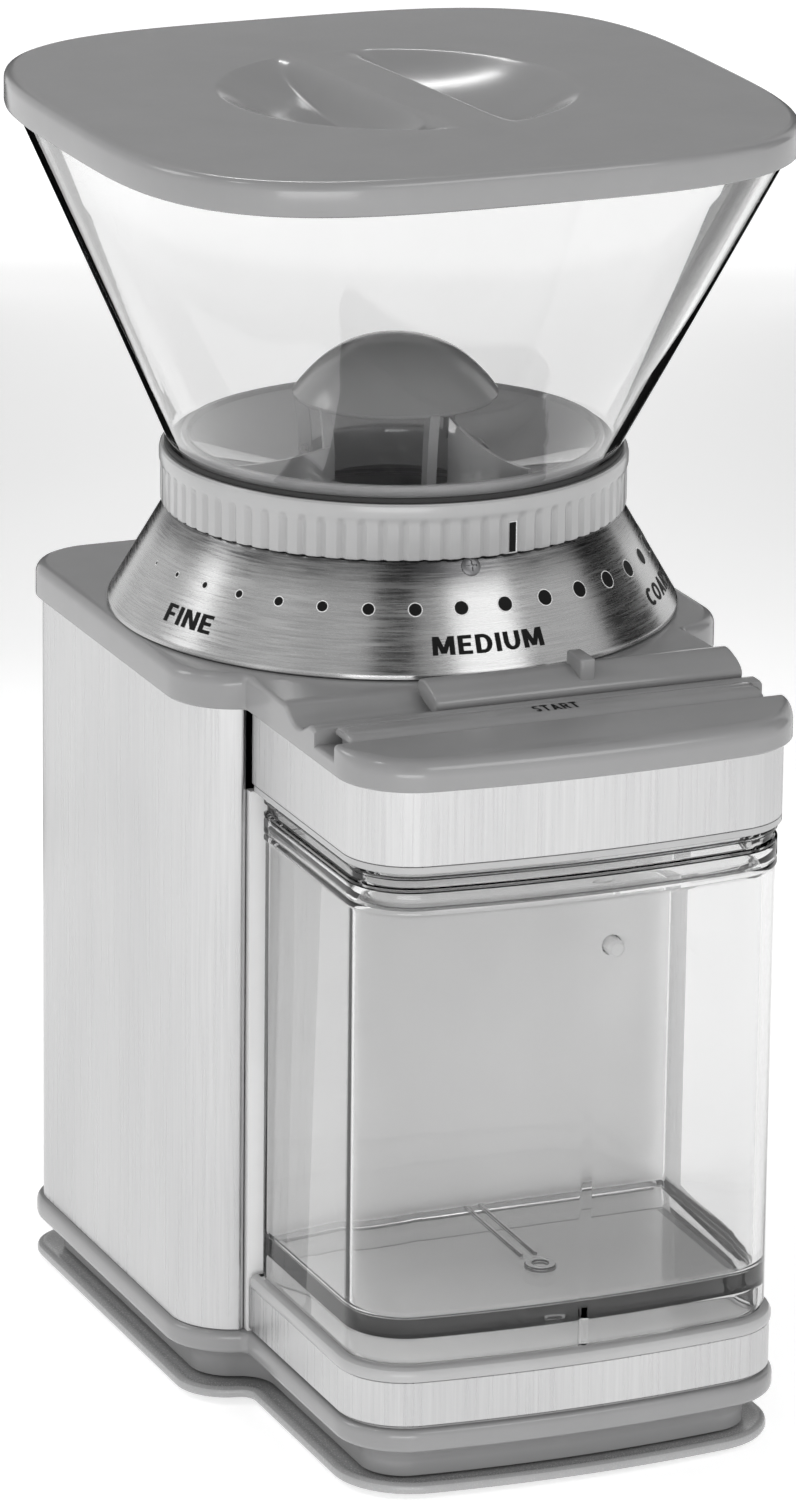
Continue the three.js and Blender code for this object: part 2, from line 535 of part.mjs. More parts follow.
// ---------------------------------------------------------------- grounds container
function container() {
  const plan = (inset) => noseShape(NOSE, CUP.inset + inset, CUP.back - inset);
  const bottom = Z.platform + GAP;
  const wall = raise(plan(0.4), bottom, CUP.bead);
  const bead = raise(plan(0), CUP.bead, CUP.top);
  const inside = raise(plan(CUP.wall + 0.4), CUP.inside, CUP.top + 1);
  const under = raise(plan(CUP.wall + 0.4), bottom - 1, CUP.floor);
  place('grounds_container', cut(join(wall, bead), inside, under), MATERIAL.clear);

  const lidTop = Z.nook - GAP;
  const slab = raise(plan(0), CUP.top + 0.1, lidTop);
  const plug = raise(plan(CUP.wall + 0.8), CUP.top - 4, CUP.top + 1);
  const under2 = raise(plan(CUP.wall + 3), CUP.top - 5, lidTop - 1.8);
  const hole = at(disc(13, CUP.top - 6, lidTop + 1, 24), 0, (CHUTE.exit[0] + CHUTE.exit[1]) / 2);
  place('container_lid', cut(join(slab, plug), under2, hole), MATERIAL.clear);
}

// ---------------------------------------------------------------- hopper
// One closed ring of a superellipse: exponent 2 is an ellipse, larger is squarer.
function superellipse(a, b, exponent, z, count) {
  return Array.from({ length: count }, (_, i) => {
    const angle = (2 * Math.PI * i) / count;
    const [c, s] = [Math.cos(angle), Math.sin(angle)];
    const x = a * Math.sign(c) * Math.abs(c) ** (2 / exponent);
    const y = b * Math.sign(s) * Math.abs(s) ** (2 / exponent);
    return new THREE.Vector3(x, y, z);
  });
}

// Skins a list of rings; the last ring meets the first, or both ends are capped by a centre point.
function skinRings(rings, capped) {
  const count = rings[0].length;
  const points = rings.flat();
  const index = [];
  const last = capped ? rings.length - 1 : rings.length;
  for (let row = 0; row < last; row += 1) {
    const [low, high] = [row * count, ((row + 1) % rings.length) * count];
    for (let i = 0; i < count; i += 1) {
      const j = (i + 1) % count;
      index.push(low + i, low + j, high + j, low + i, high + j, high + i);
    }
  }
  if (capped) {
    const top = (rings.length - 1) * count;
    points.push(new THREE.Vector3(0, 0, rings[0][0].z), new THREE.Vector3(0, 0, rings.at(-1)[0].z));
    for (let i = 0; i < count; i += 1) {
      const j = (i + 1) % count;
      index.push(j, i, points.length - 2, top + i, top + j, points.length - 1);
    }
  }
  const geometry = new THREE.BufferGeometry().setFromPoints(points);
  geometry.setIndex(index);
  return solid(geometry);
}

// Hopper wall at height z, moved inwards by inset: straight sides that turn from round to square.
function hopperRing(z, inset) {
  const t = Math.max(0, (z - COLLAR.top) / (HOPPER.top - COLLAR.top));
  const a = HOPPER.neck + (HOPPER.x - HOPPER.neck) * t;
  const b = HOPPER.neck + (HOPPER.y - HOPPER.neck) * t;
  return superellipse(a - inset, b - inset, 2 + (HOPPER.square - 2) * t, z, 40);
}

function hopper() {
  const flutes = new THREE.Shape();
  for (let i = 0; i < COLLAR.flutes; i += 1) {
    [[-0.25, 0], [0.25, 0.7]].forEach(([part, depth], k) => {
      const angle = (2 * Math.PI * (i + part)) / COLLAR.flutes;
      const r = COLLAR.low + 0.7 - depth;
      if (i + k === 0) flutes.moveTo(r * Math.cos(angle), r * Math.sin(angle));
      else flutes.lineTo(r * Math.cos(angle), r * Math.sin(angle));
    });
  }
  const { bottom, top, rim, high } = COLLAR;
  const inner = HOPPER.neck + GAP;
  const fluted = raise(flutes, bottom, top - rim);
  const crown = turn([
    [0, top - rim], [high - 0.1, top - rim], [high, top - 1], [high - 0.6, top], [0, top],
  ], 36);
  const bowl = disc(inner, HOPPER.seat - GAP, top + 1, 40);
  const eye = disc(36.5, bottom - 1, top, 28);
  const under = disc(46.8, bottom - 1, HOPPER.seat - 3, 28);
  const lugs = Array.from({ length: RING.lugs }, (_, i) =>
    box(37, 40.6, -3.2, 3.2, RING.top - 3.6, HOPPER.seat - 1).rotate([0, 0, (360 * i) / RING.lugs]));
  place('hopper_collar', join(cut(join(fluted, crown), bowl, eye, under), ...lugs), MATERIAL.plastic);

  const levels = [HOPPER.seat, COLLAR.top, 220, 244, HOPPER.top];
  const outside = levels.map((z) => hopperRing(z, 0));
  const inside = levels.map((z) => hopperRing(z, HOPPER.wall)).reverse();
  place('hopper', skinRings([...outside, ...inside], false), MATERIAL.clear);

  const rimR = HOPPER.neck - HOPPER.wall - GAP;
  const funnel = turn([
    [rimR, HOPPER.seat + 1], [rimR, 199], [rimR - 2, 199], [20, 195.2], [20, 197], [18, 197], [18, 187],
    [20, 187], [20, 193], [rimR - 2, 196.6], [rimR - 2, HOPPER.seat + 1], [rimR, HOPPER.seat + 1],
  ], 28);
  const fins = [70, 190, 310].map((angle) =>
    box(18.4, 21.4, -0.9, 0.9, 194.5, GUARD.rim - 0.2).rotate([0, 0, angle]));
  place('hopper_floor', join(funnel, ...fins), MATERIAL.smoke);

  const rows = 4;
  const dome = Array.from({ length: rows + 1 }, (_, i) => {
    const a = (Math.PI / 2) * (1 - i / rows);
    return [GUARD.radius * Math.sin(a), GUARD.rim + 0.8 + (GUARD.top - GUARD.rim - 0.8) * Math.cos(a)];
  });
  dome[rows][0] = 0;
  const hollow = dome.map(([r, z]) => [Math.max(r - 1.6, 0), Math.max(z - 1.6, GUARD.rim)]).reverse();
  place('bean_guard', turn([[GUARD.radius, GUARD.rim], ...dome, ...hollow.slice(0, rows),
    [GUARD.radius - 1.6, GUARD.rim], [GUARD.radius, GUARD.rim]], 24), MATERIAL.plastic);
}

// ---------------------------------------------------------------- lid
function lid() {
  const layer = (inset, z) => superellipse(LID.x - inset, LID.y - inset, LID.square, z, 36);
  const { bottom, top, wall } = LID;
  const outside = skinRings([layer(0.8, bottom), layer(0, bottom + 1.5), layer(0, top - 3), layer(1, top - 1),
    layer(3.4, top)], true);
  const inside = skinRings([layer(wall, bottom - 1), layer(wall, top - 4.6)], true);
  // The dish hangs below the lid as a shallow bowl with its own wall.
  const cap = (radius, depth, z) => {
    const rows = Array.from({ length: 6 }, (_, i) => [radius * (i / 5), z - depth * (1 - (i / 5) ** 2)]);
    return turn([...rows, [radius, z + 6], [0, z + 6]], 28);
  };
  const bowl = cap(DISH.radius + wall, DISH.depth, top - wall - 0.2)
    .intersect(box(-60, 60, -60, 60, bottom - 20, top - wall - 0.4));
  const half = DISH.rib / 2;
  const rib = new THREE.Shape();
  rib.moveTo(-half, 0);
  rib.lineTo(half, 0);
  rib.lineTo(half + 5, -DISH.depth - 2);
  rib.lineTo(-half - 5, -DISH.depth - 2);
  const bar = solid(new THREE.ExtrudeGeometry(rib, { depth: 100, bevelEnabled: false })
    .rotateX(Math.PI / 2).translate(0, 50, top + 0.01).rotateZ(THREE.MathUtils.degToRad(DISH.skew)));
  const dish = cap(DISH.radius, DISH.depth, top);
  const shell = join(cut(outside, inside), bowl, bar.intersect(cap(DISH.radius + 0.5, DISH.depth + 1, top))
    .intersect(outside));
  place('lid', cut(shell, cut(dish, bar)), MATERIAL.plastic);
}

base();
body();
cover();
dial();
drive();
burrs();
controls();
container();
hopper();
lid();

export default grinder;
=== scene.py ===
import json
import math

import bpy
import numpy as np
from mathutils import Matrix, Vector


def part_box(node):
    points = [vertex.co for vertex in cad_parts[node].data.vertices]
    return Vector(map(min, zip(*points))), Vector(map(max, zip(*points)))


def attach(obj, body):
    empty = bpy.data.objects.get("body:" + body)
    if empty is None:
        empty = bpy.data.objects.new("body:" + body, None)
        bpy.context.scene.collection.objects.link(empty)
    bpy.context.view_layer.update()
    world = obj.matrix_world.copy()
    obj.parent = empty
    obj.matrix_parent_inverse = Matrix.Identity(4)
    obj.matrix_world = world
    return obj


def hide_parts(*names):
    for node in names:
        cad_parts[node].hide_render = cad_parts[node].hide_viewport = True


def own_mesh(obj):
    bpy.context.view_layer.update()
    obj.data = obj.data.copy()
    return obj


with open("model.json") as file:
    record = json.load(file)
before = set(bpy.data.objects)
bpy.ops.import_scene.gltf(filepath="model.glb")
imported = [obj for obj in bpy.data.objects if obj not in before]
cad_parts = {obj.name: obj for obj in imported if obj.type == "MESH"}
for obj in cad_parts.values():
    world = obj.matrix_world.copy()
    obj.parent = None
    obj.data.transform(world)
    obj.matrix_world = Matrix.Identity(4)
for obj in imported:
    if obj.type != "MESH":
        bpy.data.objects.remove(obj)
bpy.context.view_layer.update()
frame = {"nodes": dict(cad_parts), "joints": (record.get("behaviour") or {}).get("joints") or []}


# ------------------------------------------------------------------ studio
# A white room over a glowing white sweep, with three soft window lights and two small ones for
# glints. Cards and flags, which never show directly, put dark edges into clear and brushed parts.
scene = bpy.context.scene
scene.view_settings.view_transform = "Standard"
BURR_AXIS_Y = next(j["pos_m"][1] for j in frame["joints"] if j["name"] == "grind_turn")
AXIS = Vector((0, BURR_AXIS_Y, 0))
AIM_HEIGHT = 0.14
VIEW_AZIMUTH = 67.3


def add(tree, kind, sockets=(), **settings):
    """Adds a shader node; settings are its options and sockets its input values."""
    node = tree.nodes.new("ShaderNode" + kind)
    for name, value in settings.items():
        setattr(node, name, value)
    for name, value in dict(sockets).items():
        node.inputs[name].default_value = value
    return node


def studio_world(horizon, zenith):
    """White walls that grow dimmer towards the ceiling, so tops are no lighter than sides."""
    world = bpy.data.worlds.new("white_room")
    scene.world = world
    world.use_nodes = True
    tree = world.node_tree
    place = add(tree, "TexCoord")
    split = add(tree, "SeparateXYZ")
    spread = add(tree, "MapRange", {"To Min": horizon, "To Max": zenith})
    tree.links.new(place.outputs["Generated"], split.inputs[0])
    tree.links.new(split.outputs["Z"], spread.inputs["Value"])
    tree.links.new(spread.outputs["Result"], tree.nodes["Background"].inputs["Strength"])
    tree.nodes["Background"].inputs["Color"].default_value = (1, 1, 1, 1)


def sweep(half, reflectance, glow):
    """The floor: a square of matt white paper that glows a little, half its side in metres."""
    mesh = bpy.data.meshes.new("sweep")
    corners = [(-half, -half, 0), (half, -half, 0), (half, half, 0), (-half, half, 0)]
    mesh.from_pydata(corners, [], [(0, 1, 2, 3)])
    floor = bpy.data.objects.new("sweep", mesh)
    scene.collection.objects.link(floor)
    paper = bpy.data.materials.new("white_paper")
    paper.use_nodes = True
    shader = paper.node_tree.nodes["Principled BSDF"]
    shader.inputs["Base Color"].default_value = (reflectance, reflectance, reflectance, 1)
    shader.inputs["Roughness"].default_value = 0.9
    shader.inputs["Emission Color"].default_value = (1, 1, 1, 1)
    shader.inputs["Emission Strength"].default_value = glow
    mesh.materials.append(paper)


def round_the_axis(azimuth, distance, height):
    """The point at that azimuth (0 along +x), distance from the burr axis and height, in metres."""
    angle = math.radians(azimuth)
    return AXIS + Vector((distance * math.cos(angle), distance * math.sin(angle), height))


def window_light(name, azimuth, distance, height, size, power):
    """An area light that looks at the middle of the grinder; metres and watts."""
    light = bpy.data.lights.new(name, "AREA")
    light.shape = "RECTANGLE"
    light.size, light.size_y = size
    light.energy = power
    lamp = bpy.data.objects.new(name, light)
    scene.collection.objects.link(lamp)
    lamp.location = round_the_axis(azimuth, distance, height)
    aim = AXIS + Vector((0, 0, AIM_HEIGHT)) - lamp.location
    lamp.rotation_euler = aim.to_track_quat("-Z", "Y").to_euler()


def card(name, azimuth, distance, half_width, bottom, top, shade=0.01):
    """An upright matt card that faces the burr axis. It shows in reflections and through clear
    parts, and not as a shape behind the grinder."""
    centre = round_the_axis(azimuth, distance, 0)
    across = Vector((-math.sin(math.radians(azimuth)), math.cos(math.radians(azimuth)), 0))
    low, high = Vector((0, 0, bottom)), Vector((0, 0, top))
    corners = [centre + across * side + level for side, level in
               ((-half_width, low), (half_width, low), (half_width, high), (-half_width, high))]
    mesh = bpy.data.meshes.new(name)
    mesh.from_pydata([tuple(c) for c in corners], [], [(0, 1, 2, 3)])
    board = bpy.data.objects.new(name, mesh)
    scene.collection.objects.link(board)
    matt = bpy.data.materials.new(name + "_matt")
    matt.use_nodes = True
    shader = matt.node_tree.nodes["Principled BSDF"]
    shader.inputs["Base Color"].default_value = (shade, shade, shade, 1)
    shader.inputs["Roughness"].default_value = 1
    shader.inputs["Specular IOR Level"].default_value = 0
    mesh.materials.append(matt)
    board.visible_camera = False


def side_flag(name, side):
    """Black velvet just outside the view on one side: a strip on the sweep and two uprights.
    Lengths are across and along the view. It shows in reflections and through clear parts."""
    along = Vector((math.cos(math.radians(VIEW_AZIMUTH)), math.sin(math.radians(VIEW_AZIMUTH)), 0))
    across = Vector((along.y, -along.x, 0)) * side
    plans = [[(0.13, 0.28, 0.003), (0.24, 0.28, 0.003), (0.26, 0.9, 0.003), (0.15, 0.9, 0.003)],
             [(0.25, 0.45, 0), (0.26, 0.9, 0), (0.26, 0.9, 0.5), (0.25, 0.45, 0.5)],
             [(0.16, 0.9, 0), (0.26, 0.9, 0), (0.26, 0.9, 0.5), (0.16, 0.9, 0.5)]]
    corners = [AXIS + across * x + along * y + Vector((0, 0, z))
               for plan in plans for x, y, z in plan]
    mesh = bpy.data.meshes.new(name)
    mesh.from_pydata([tuple(c) for c in corners], [], [(0, 1, 2, 3), (4, 5, 6, 7), (8, 9, 10, 11)])
    flag = bpy.data.objects.new(name, mesh)
    scene.collection.objects.link(flag)
    mesh.materials.append(bpy.data.materials["card_front_matt"])
    flag.visible_camera = False


studio_world(horizon=1.05, zenith=0.38)
sweep(half=6, reflectance=0.9, glow=0.5)
window_light("left_window", azimuth=146, distance=1.4, height=1.25, size=(0.5, 0.7), power=4)
window_light("right_window", azimuth=-66, distance=1.5, height=1.6, size=(0.9, 0.7), power=6)
window_light("low_fill", azimuth=-112, distance=1.25, height=0.18, size=(0.8, 0.3), power=3)
window_light("glint_lamp", azimuth=174, distance=0.75, height=1.66, size=(0.15, 0.15), power=1.1)
window_light("rim_strip", azimuth=74.5, distance=1.2, height=1.47, size=(0.5, 0.09), power=3)
card("card_front", azimuth=-111, distance=1.3, half_width=0.24, bottom=0.75, top=3.4)
card("card_right", azimuth=4, distance=1.1, half_width=0.32, bottom=0.2, top=1.6)
card("card_behind", azimuth=67, distance=1.0, half_width=0.6, bottom=0.36, top=1.1, shade=0.45)
side_flag("flag_left", -1)
side_flag("flag_right", 1)


# ------------------------------------------------------------------ camera
# A long lens, high on the front left, looking down at the grinder's front corner. It only
# frames the picture, and nothing on the grinder depends on it.
def camera(position, yaw, pitch, roll, lens):
    """Yaw turns from +y towards -x, pitch is down, roll is clockwise; degrees and metres."""
    yaw, pitch, roll = (math.radians(a) for a in (yaw, pitch, roll))
    flat = math.cos(pitch)
    forward = Vector((-math.sin(yaw) * flat, math.cos(yaw) * flat, math.sin(pitch)))
    level = Vector((math.cos(yaw), math.sin(yaw), 0))
    upright = level.cross(forward)
    right = level * math.cos(roll) + upright * math.sin(roll)
    up = upright * math.cos(roll) - level * math.sin(roll)
    data = bpy.data.cameras.new("camera")
    data.lens, data.sensor_width = lens, 36
    data.clip_end = 20
    eye = bpy.data.objects.new("camera", data)
    scene.collection.objects.link(eye)
    turn = Matrix((right, up, -forward)).transposed().to_4x4()
    eye.matrix_world = Matrix.Translation(position) @ turn
    scene.camera = eye


camera((-0.66237, -1.57397, 0.66466), yaw=-22.66, pitch=-17.31, roll=0.64, lens=201.6)


# ------------------------------------------------------------------ rubber feet
# Four soft discs stuck under the foot plate, moulded with a rounded tread edge.
# Each is a small profile turned about its own centre.
SHARP_EDGE = 32
NOISE_LOW, NOISE_HIGH = 0.3, 0.7


def set_down(points):
    """Millimetres about the burr axis to metres in the frame."""
    return (np.asarray(points, float) + (0, BURR_AXIS_Y * 1000, 0)) / 1000


def stitch(rows, loop=False, caps=True):
    """Skins a grid of points whose columns run round: each square joins two neighbouring rows.
    With loop the last row meets the first, and otherwise caps close both ends."""
    count, across = rows.shape[:2]
    index = np.arange(count * across).reshape(count, across)
    if loop:
        index = np.vstack([index, index[:1]])
    a, b = index[:-1], index[1:]
    quads = np.stack([a, np.roll(a, -1, 1), np.roll(b, -1, 1), b], -1).reshape(-1, 4)
    faces = quads.tolist()
    if caps and not loop:
        faces += [index[0][::-1].tolist(), index[-1].tolist()]
    return rows.reshape(-1, 3), faces


def make(name, shape, material, body="housing", stands_for=()):
    """Puts a shape's points and faces into a mesh that rides on a body. Edges sharper than
    SHARP_EDGE degrees stay sharp, and the rest are shaded smooth."""
    points, faces = shape
    mesh = bpy.data.meshes.new(name)
    mesh.from_pydata(set_down(points).tolist(), [], faces)
    mesh.polygons.foreach_set("use_smooth", np.ones(len(mesh.polygons), bool))
    mesh.set_sharp_from_angle(angle=math.radians(SHARP_EDGE))
    mesh.materials.append(material)
    piece = bpy.data.objects.new(name, mesh)
    scene.collection.objects.link(piece)
    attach(piece, body)
    if stands_for:
        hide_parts(*stands_for)
    return piece


def lathe(profile, centre=(0, 0), segments=64):
    """Turns (radius, z) rows about a vertical axis: x = r cos a, y = r sin a."""
    radius, z = np.array(profile, float).T
    angle = np.linspace(0, 2 * np.pi, segments, endpoint=False)
    x = centre[0] + radius[:, None] * np.cos(angle)
    y = centre[1] + radius[:, None] * np.sin(angle)
    return np.stack([x, y, np.broadcast_to(z[:, None], x.shape)], -1)


def together(*shapes):
    """Several shapes as one list of points and faces."""
    points, faces, start = [], [], 0
    for part, skin in shapes:
        points.append(part)
        faces += [[i + start for i in face] for face in skin]
        start += len(part)
    return np.vstack(points), faces


def surface(name, colour, roughness, metallic=0.0, **sockets):
    """A Principled material; the other sockets are given by name with _ for a space."""
    material = bpy.data.materials.new(name)
    material.use_nodes = True
    tree = material.node_tree
    shader = tree.nodes["Principled BSDF"]
    shader.inputs["Base Color"].default_value = (*colour, 1)
    shader.inputs["Roughness"].default_value = roughness
    shader.inputs["Metallic"].default_value = metallic
    for socket, value in sockets.items():
        shader.inputs[socket.replace("_", " ")].default_value = value
    return material, tree, shader


def grain(tree, scale, stretch=(1, 1, 1), detail=3.0, centre=(0, 0, 0)):
    """Noise on object coordinates, in grains a metre along each axis."""
    place = add(tree, "TexCoord")
    mapping = add(tree, "Mapping", {"Location": [-c * s for c, s in zip(centre, stretch)],
                                    "Scale": stretch})
    noise = add(tree, "TexNoise", {"Scale": scale, "Detail": detail, "Roughness": 0.6})
    tree.links.new(place.outputs["Object"], mapping.inputs["Vector"])
    tree.links.new(mapping.outputs["Vector"], noise.inputs["Vector"])
    return noise.outputs["Fac"]


def between(tree, factor, low, high, into):
    """Sends low..high to a socket as the factor crosses most of a noise's range."""
    spread = add(tree, "MapRange", {"From Min": NOISE_LOW, "From Max": NOISE_HIGH,
                                    "To Min": low, "To Max": high})
    tree.links.new(factor, spread.inputs["Value"])
    tree.links.new(spread.outputs["Result"], into)


def tone(tree, factor, dark, light, into):
    """Sends a colour between two greys or tints to a socket as the factor crosses most of a
    noise's range, and returns the ramp."""
    ramp = add(tree, "ValToRGB")
    stops = ramp.color_ramp.elements
    for stop, position, colour in zip(stops, (NOISE_LOW, NOISE_HIGH), (dark, light)):
        stop.position = position
        stop.color = (*colour, 1)
    tree.links.new(factor, ramp.inputs["Fac"])
    tree.links.new(ramp.outputs["Color"], into)
    return ramp.color_ramp


def relief(tree, factor, shader, depth, strength=1.0):
    """Bump of that depth in metres on a shader."""
    bump = add(tree, "Bump", {"Distance": depth, "Strength": strength})
    tree.links.new(factor, bump.inputs["Height"])
    tree.links.new(bump.outputs["Normal"], shader.inputs["Normal"])


def soft_rubber():
    """Matt black rubber with fine pores."""
    material, tree, shader = surface("soft_rubber", (0.02, 0.02, 0.02), 0.75)
    pores = grain(tree, 900)
    tone(tree, pores, (0.014, 0.014, 0.014), (0.03, 0.03, 0.03), shader.inputs["Base Color"])
    between(tree, pores, 0.65, 0.85, shader.inputs["Roughness"])
    relief(tree, pores, shader, 0.00008)
    return material


RUBBER = soft_rubber()
FEET = {"rubber_foot_1": (-46, 50), "rubber_foot_2": (46, 50),
        "rubber_foot_3": (-34, -88), "rubber_foot_4": (34, -88)}
TREAD = [(5.2, 0.3), (5.6, 0), (6.5, 0), (6.9, 0.15), (7, 0.45), (7, 1.2)]
for name, centre in FEET.items():
    make(name + "_moulded", stitch(lathe(TREAD, centre)), RUBBER, stands_for=[name])


# ------------------------------------------------------------------ foot plate
# Mid-grey moulding that closes the underside: a wide body and a narrower nose in one tee shape,
# with a raised lip all round. Four countersinks take the base screws.
def arc(cx, cy, radius, start, end, steps):
    """Points round a centre, with the directions that face away from the material, which is
    inside the curve. A negative radius is a hollow corner, whose centre is outside."""
    angle = np.radians(np.linspace(start, end, steps + 1))
    away = np.column_stack([np.cos(angle), np.sin(angle)])
    return np.column_stack([np.array([cx, cy]) + radius * away, away])


def nose_front(half, front, bow, corner, steps=18):
    """The nose's front from left to right: a corner, the long bow and the other corner.
    The bow's radius follows from its rise over the half width, (half^2 + bow^2) / 2 bow."""
    bow_radius = (half**2 + bow**2) / (2 * bow)
    centre_y = front - bow + bow_radius
    lean = math.degrees(math.asin((half - corner) / (bow_radius - corner)))
    corner_y = centre_y - (bow_radius - corner) * math.cos(math.radians(lean))
    left = arc(-half + corner, corner_y, corner, 180, 270 - lean, steps)
    middle = arc(0, centre_y, bow_radius, 270 - lean, 270 + lean, 2 * steps)
    right = arc(half - corner, corner_y, corner, 270 + lean, 360, steps)
    return np.vstack([left, middle[1:-1], right])


def tee(body, nose, hollow, side_stops=()):
    """A body box and a nose as one outline. The hollow corners are arcs that touch the nose's
    side and the body's corner arc. side_stops are extra points down the nose's sides."""
    half, front, back, corner = body
    corner_x, corner_y = half - corner, front + corner
    hollow_x = nose[0] + hollow
    hollow_y = corner_y - math.sqrt((corner + hollow) ** 2 - (hollow_x - corner_x) ** 2)
    turn = math.degrees(math.atan2(hollow_y - corner_y, hollow_x - corner_x))
    tip = nose_front(*nose)
    stops = np.array(sorted(side_stops))
    sides = [np.column_stack([np.full(len(stops), x), stops, np.full(len(stops), np.sign(x)),
                              np.zeros(len(stops))]) for x in (nose[0], -nose[0])]
    return np.vstack([
        tip, sides[0],
        arc(hollow_x, hollow_y, -hollow, 0, turn, 5),
        arc(corner_x, corner_y, corner, turn, 0, 16)[1:],
        arc(corner_x, back - corner, corner, 0, 90, 16),
        arc(-corner_x, back - corner, corner, 90, 180, 16),
        arc(-corner_x, corner_y, corner, 180, 180 - turn, 16)[:-1],
        arc(-hollow_x, hollow_y, -hollow, 180 - turn, 180, 5),
        sides[1][::-1],
    ])


def carry(outline, levels):
    """Carries an outline up through (inset, z) levels: each point moves in against its own
    outward direction by the inset."""
    inset, z = np.array(levels, float).T
    xy = outline[None, :, :2] - inset[:, None, None] * outline[None, :, 2:]
    return np.dstack([xy, np.broadcast_to(z[:, None], xy.shape[:2])])


def carve(piece, *shapes, operation="DIFFERENCE"):
    """Cuts closed shapes out of a finished piece, or joins them to it with UNION, and keeps the
    result as its mesh."""
    mesh = bpy.data.meshes.new("cutter")
    points, faces = together(*shapes)
    mesh.from_pydata(set_down(points).tolist(), [], faces)
    cutter = bpy.data.objects.new("cutter", mesh)
    scene.collection.objects.link(cutter)
    cut = piece.modifiers.new("cut", "BOOLEAN")
    cut.operation, cut.object, cut.solver = operation, cutter, "EXACT"
    cut.use_self = True
    view = bpy.context.evaluated_depsgraph_get()
    carved = bpy.data.meshes.new_from_object(piece.evaluated_get(view))
    piece.modifiers.clear()
    carved.set_sharp_from_angle(angle=math.radians(SHARP_EDGE))
    old, piece.data = piece.data, carved
    bpy.data.meshes.remove(old)
    bpy.data.objects.remove(cutter)
    bpy.data.meshes.remove(mesh)


def rod(radius, z0, z1, centre=(0, 0), segments=48):
    """An upright closed cylinder."""
    return stitch(lathe([(radius, z0), (radius, z1)], centre, segments))


def block(x0, x1, y0, y1, z0, z1):
    """A plain closed box."""
    ring = np.array([(x0, y0), (x1, y0), (x1, y1), (x0, y1)], float)
    return stitch(np.stack([np.column_stack([ring, np.full(4, z)]) for z in (z0, z1)]))


def grey_moulding(name, dark, light, roughness):
    """Satin moulded plastic: a faint flow mottle, and a fine spark texture on its gloss."""
    material, tree, shader = surface(name, light, roughness, Specular_IOR_Level=0.5)
    tone(tree, grain(tree, 60, detail=4), dark, light, shader.inputs["Base Color"])
    spark = grain(tree, 2600, detail=2)
    between(tree, spark, roughness - 0.03, roughness + 0.04, shader.inputs["Roughness"])
    relief(tree, spark, shader, 0.000004, 0.4)
    return material


GREY = grey_moulding("grey_moulding", (0.262, 0.262, 0.264), (0.275, 0.275, 0.277), 0.17)
FOOT = grey_moulding("foot_moulding", (0.34, 0.34, 0.342), (0.37, 0.37, 0.372), 0.25)
PLATE_BODY = (61.1, -42.7, 63.8, 11.6)
PLATE_NOSE = (48.7, -104.4, 4.3, 17.1)
PLATE_LEVELS = [(2.2, 1.2), (0.9, 1.2), (0.3, 1.4), (0, 1.9), (0, 2.6), (0.25, 3.1), (0.8, 3.4),
                (1.4, 3.5), (2.0, 3.4), (2.6, 3.15), (3.2, 3.0), (7.2, 2.8), (7.4, 2.8)]
SCREW_PLACES = [(-40, 40), (40, 40), (-30, -78), (30, -78)]
foot_plate = make("foot_plate", stitch(carry(tee(PLATE_BODY, PLATE_NOSE, 3), PLATE_LEVELS)), FOOT,
                  stands_for=["base_plate"])
carve(foot_plate, *[rod(3.5, 0, 2.7, at) for at in SCREW_PLACES])


# ------------------------------------------------------------------ base tray
# The grey tray that the steel shell stands on: a core wall behind the cord channel, flaring out
# into a rounded rim that stands a little proud of the steel.
TRAY_BODY = (62, -41.9, 64.7, 15.3)
TRAY_NOSE = (49.2, -104.9, 4.1, 15.5)
TRAY_LEVELS = [(9, 3.5), (6, 3.5), (6, 6.4), (5.8, 7.6), (5.2, 8.6), (4.2, 9.5), (2.9, 10.1),
               (1.6, 10.5), (0.7, 10.8), (0.2, 11.3), (0, 12), (0, 14), (0.15, 14.8), (0.5, 15.3),
               (1.1, 15.6), (2.2, 15.6)]
make("base_tray_moulded", stitch(carry(tee(TRAY_BODY, TRAY_NOSE, 2), TRAY_LEVELS)), GREY,
     stands_for=["base_tray"])


# ------------------------------------------------------------------ base screws
# Four pan-head screws from below, in their countersinks, with a cross cut in each head.
def turned_steel(name, colour, roughness):
    """Plain machined steel with fine rings of tool marks."""
    material, tree, shader = surface(name, colour, roughness, metallic=1)
    marks = grain(tree, 1500, stretch=(1, 1, 4))
    between(tree, marks, roughness - 0.08, roughness + 0.1, shader.inputs["Roughness"])
    relief(tree, marks, shader, 0.00001)
    return material


BRIGHT = turned_steel("bright_steel", (0.55, 0.55, 0.56), 0.28)
PAN_HEAD = [(1.5, 11), (1.5, 2.8), (2.95, 2.8), (3, 2.5), (2.8, 1.9), (2.2, 1.55), (1.2, 1.4)]
for number, centre in enumerate(SCREW_PLACES, 1):
    pan = make(f"base_screw_{number}_pan_head", stitch(lathe(PAN_HEAD, centre, 32)[::-1]), BRIGHT,
               stands_for=[f"base_screw_{number}"])
    x, y = centre
    carve(pan, block(x - 1.7, x + 1.7, y - 0.3, y + 0.3, 1, 2.2),
          block(x - 0.3, x + 0.3, y - 1.7, y + 1.7, 1, 2.2))


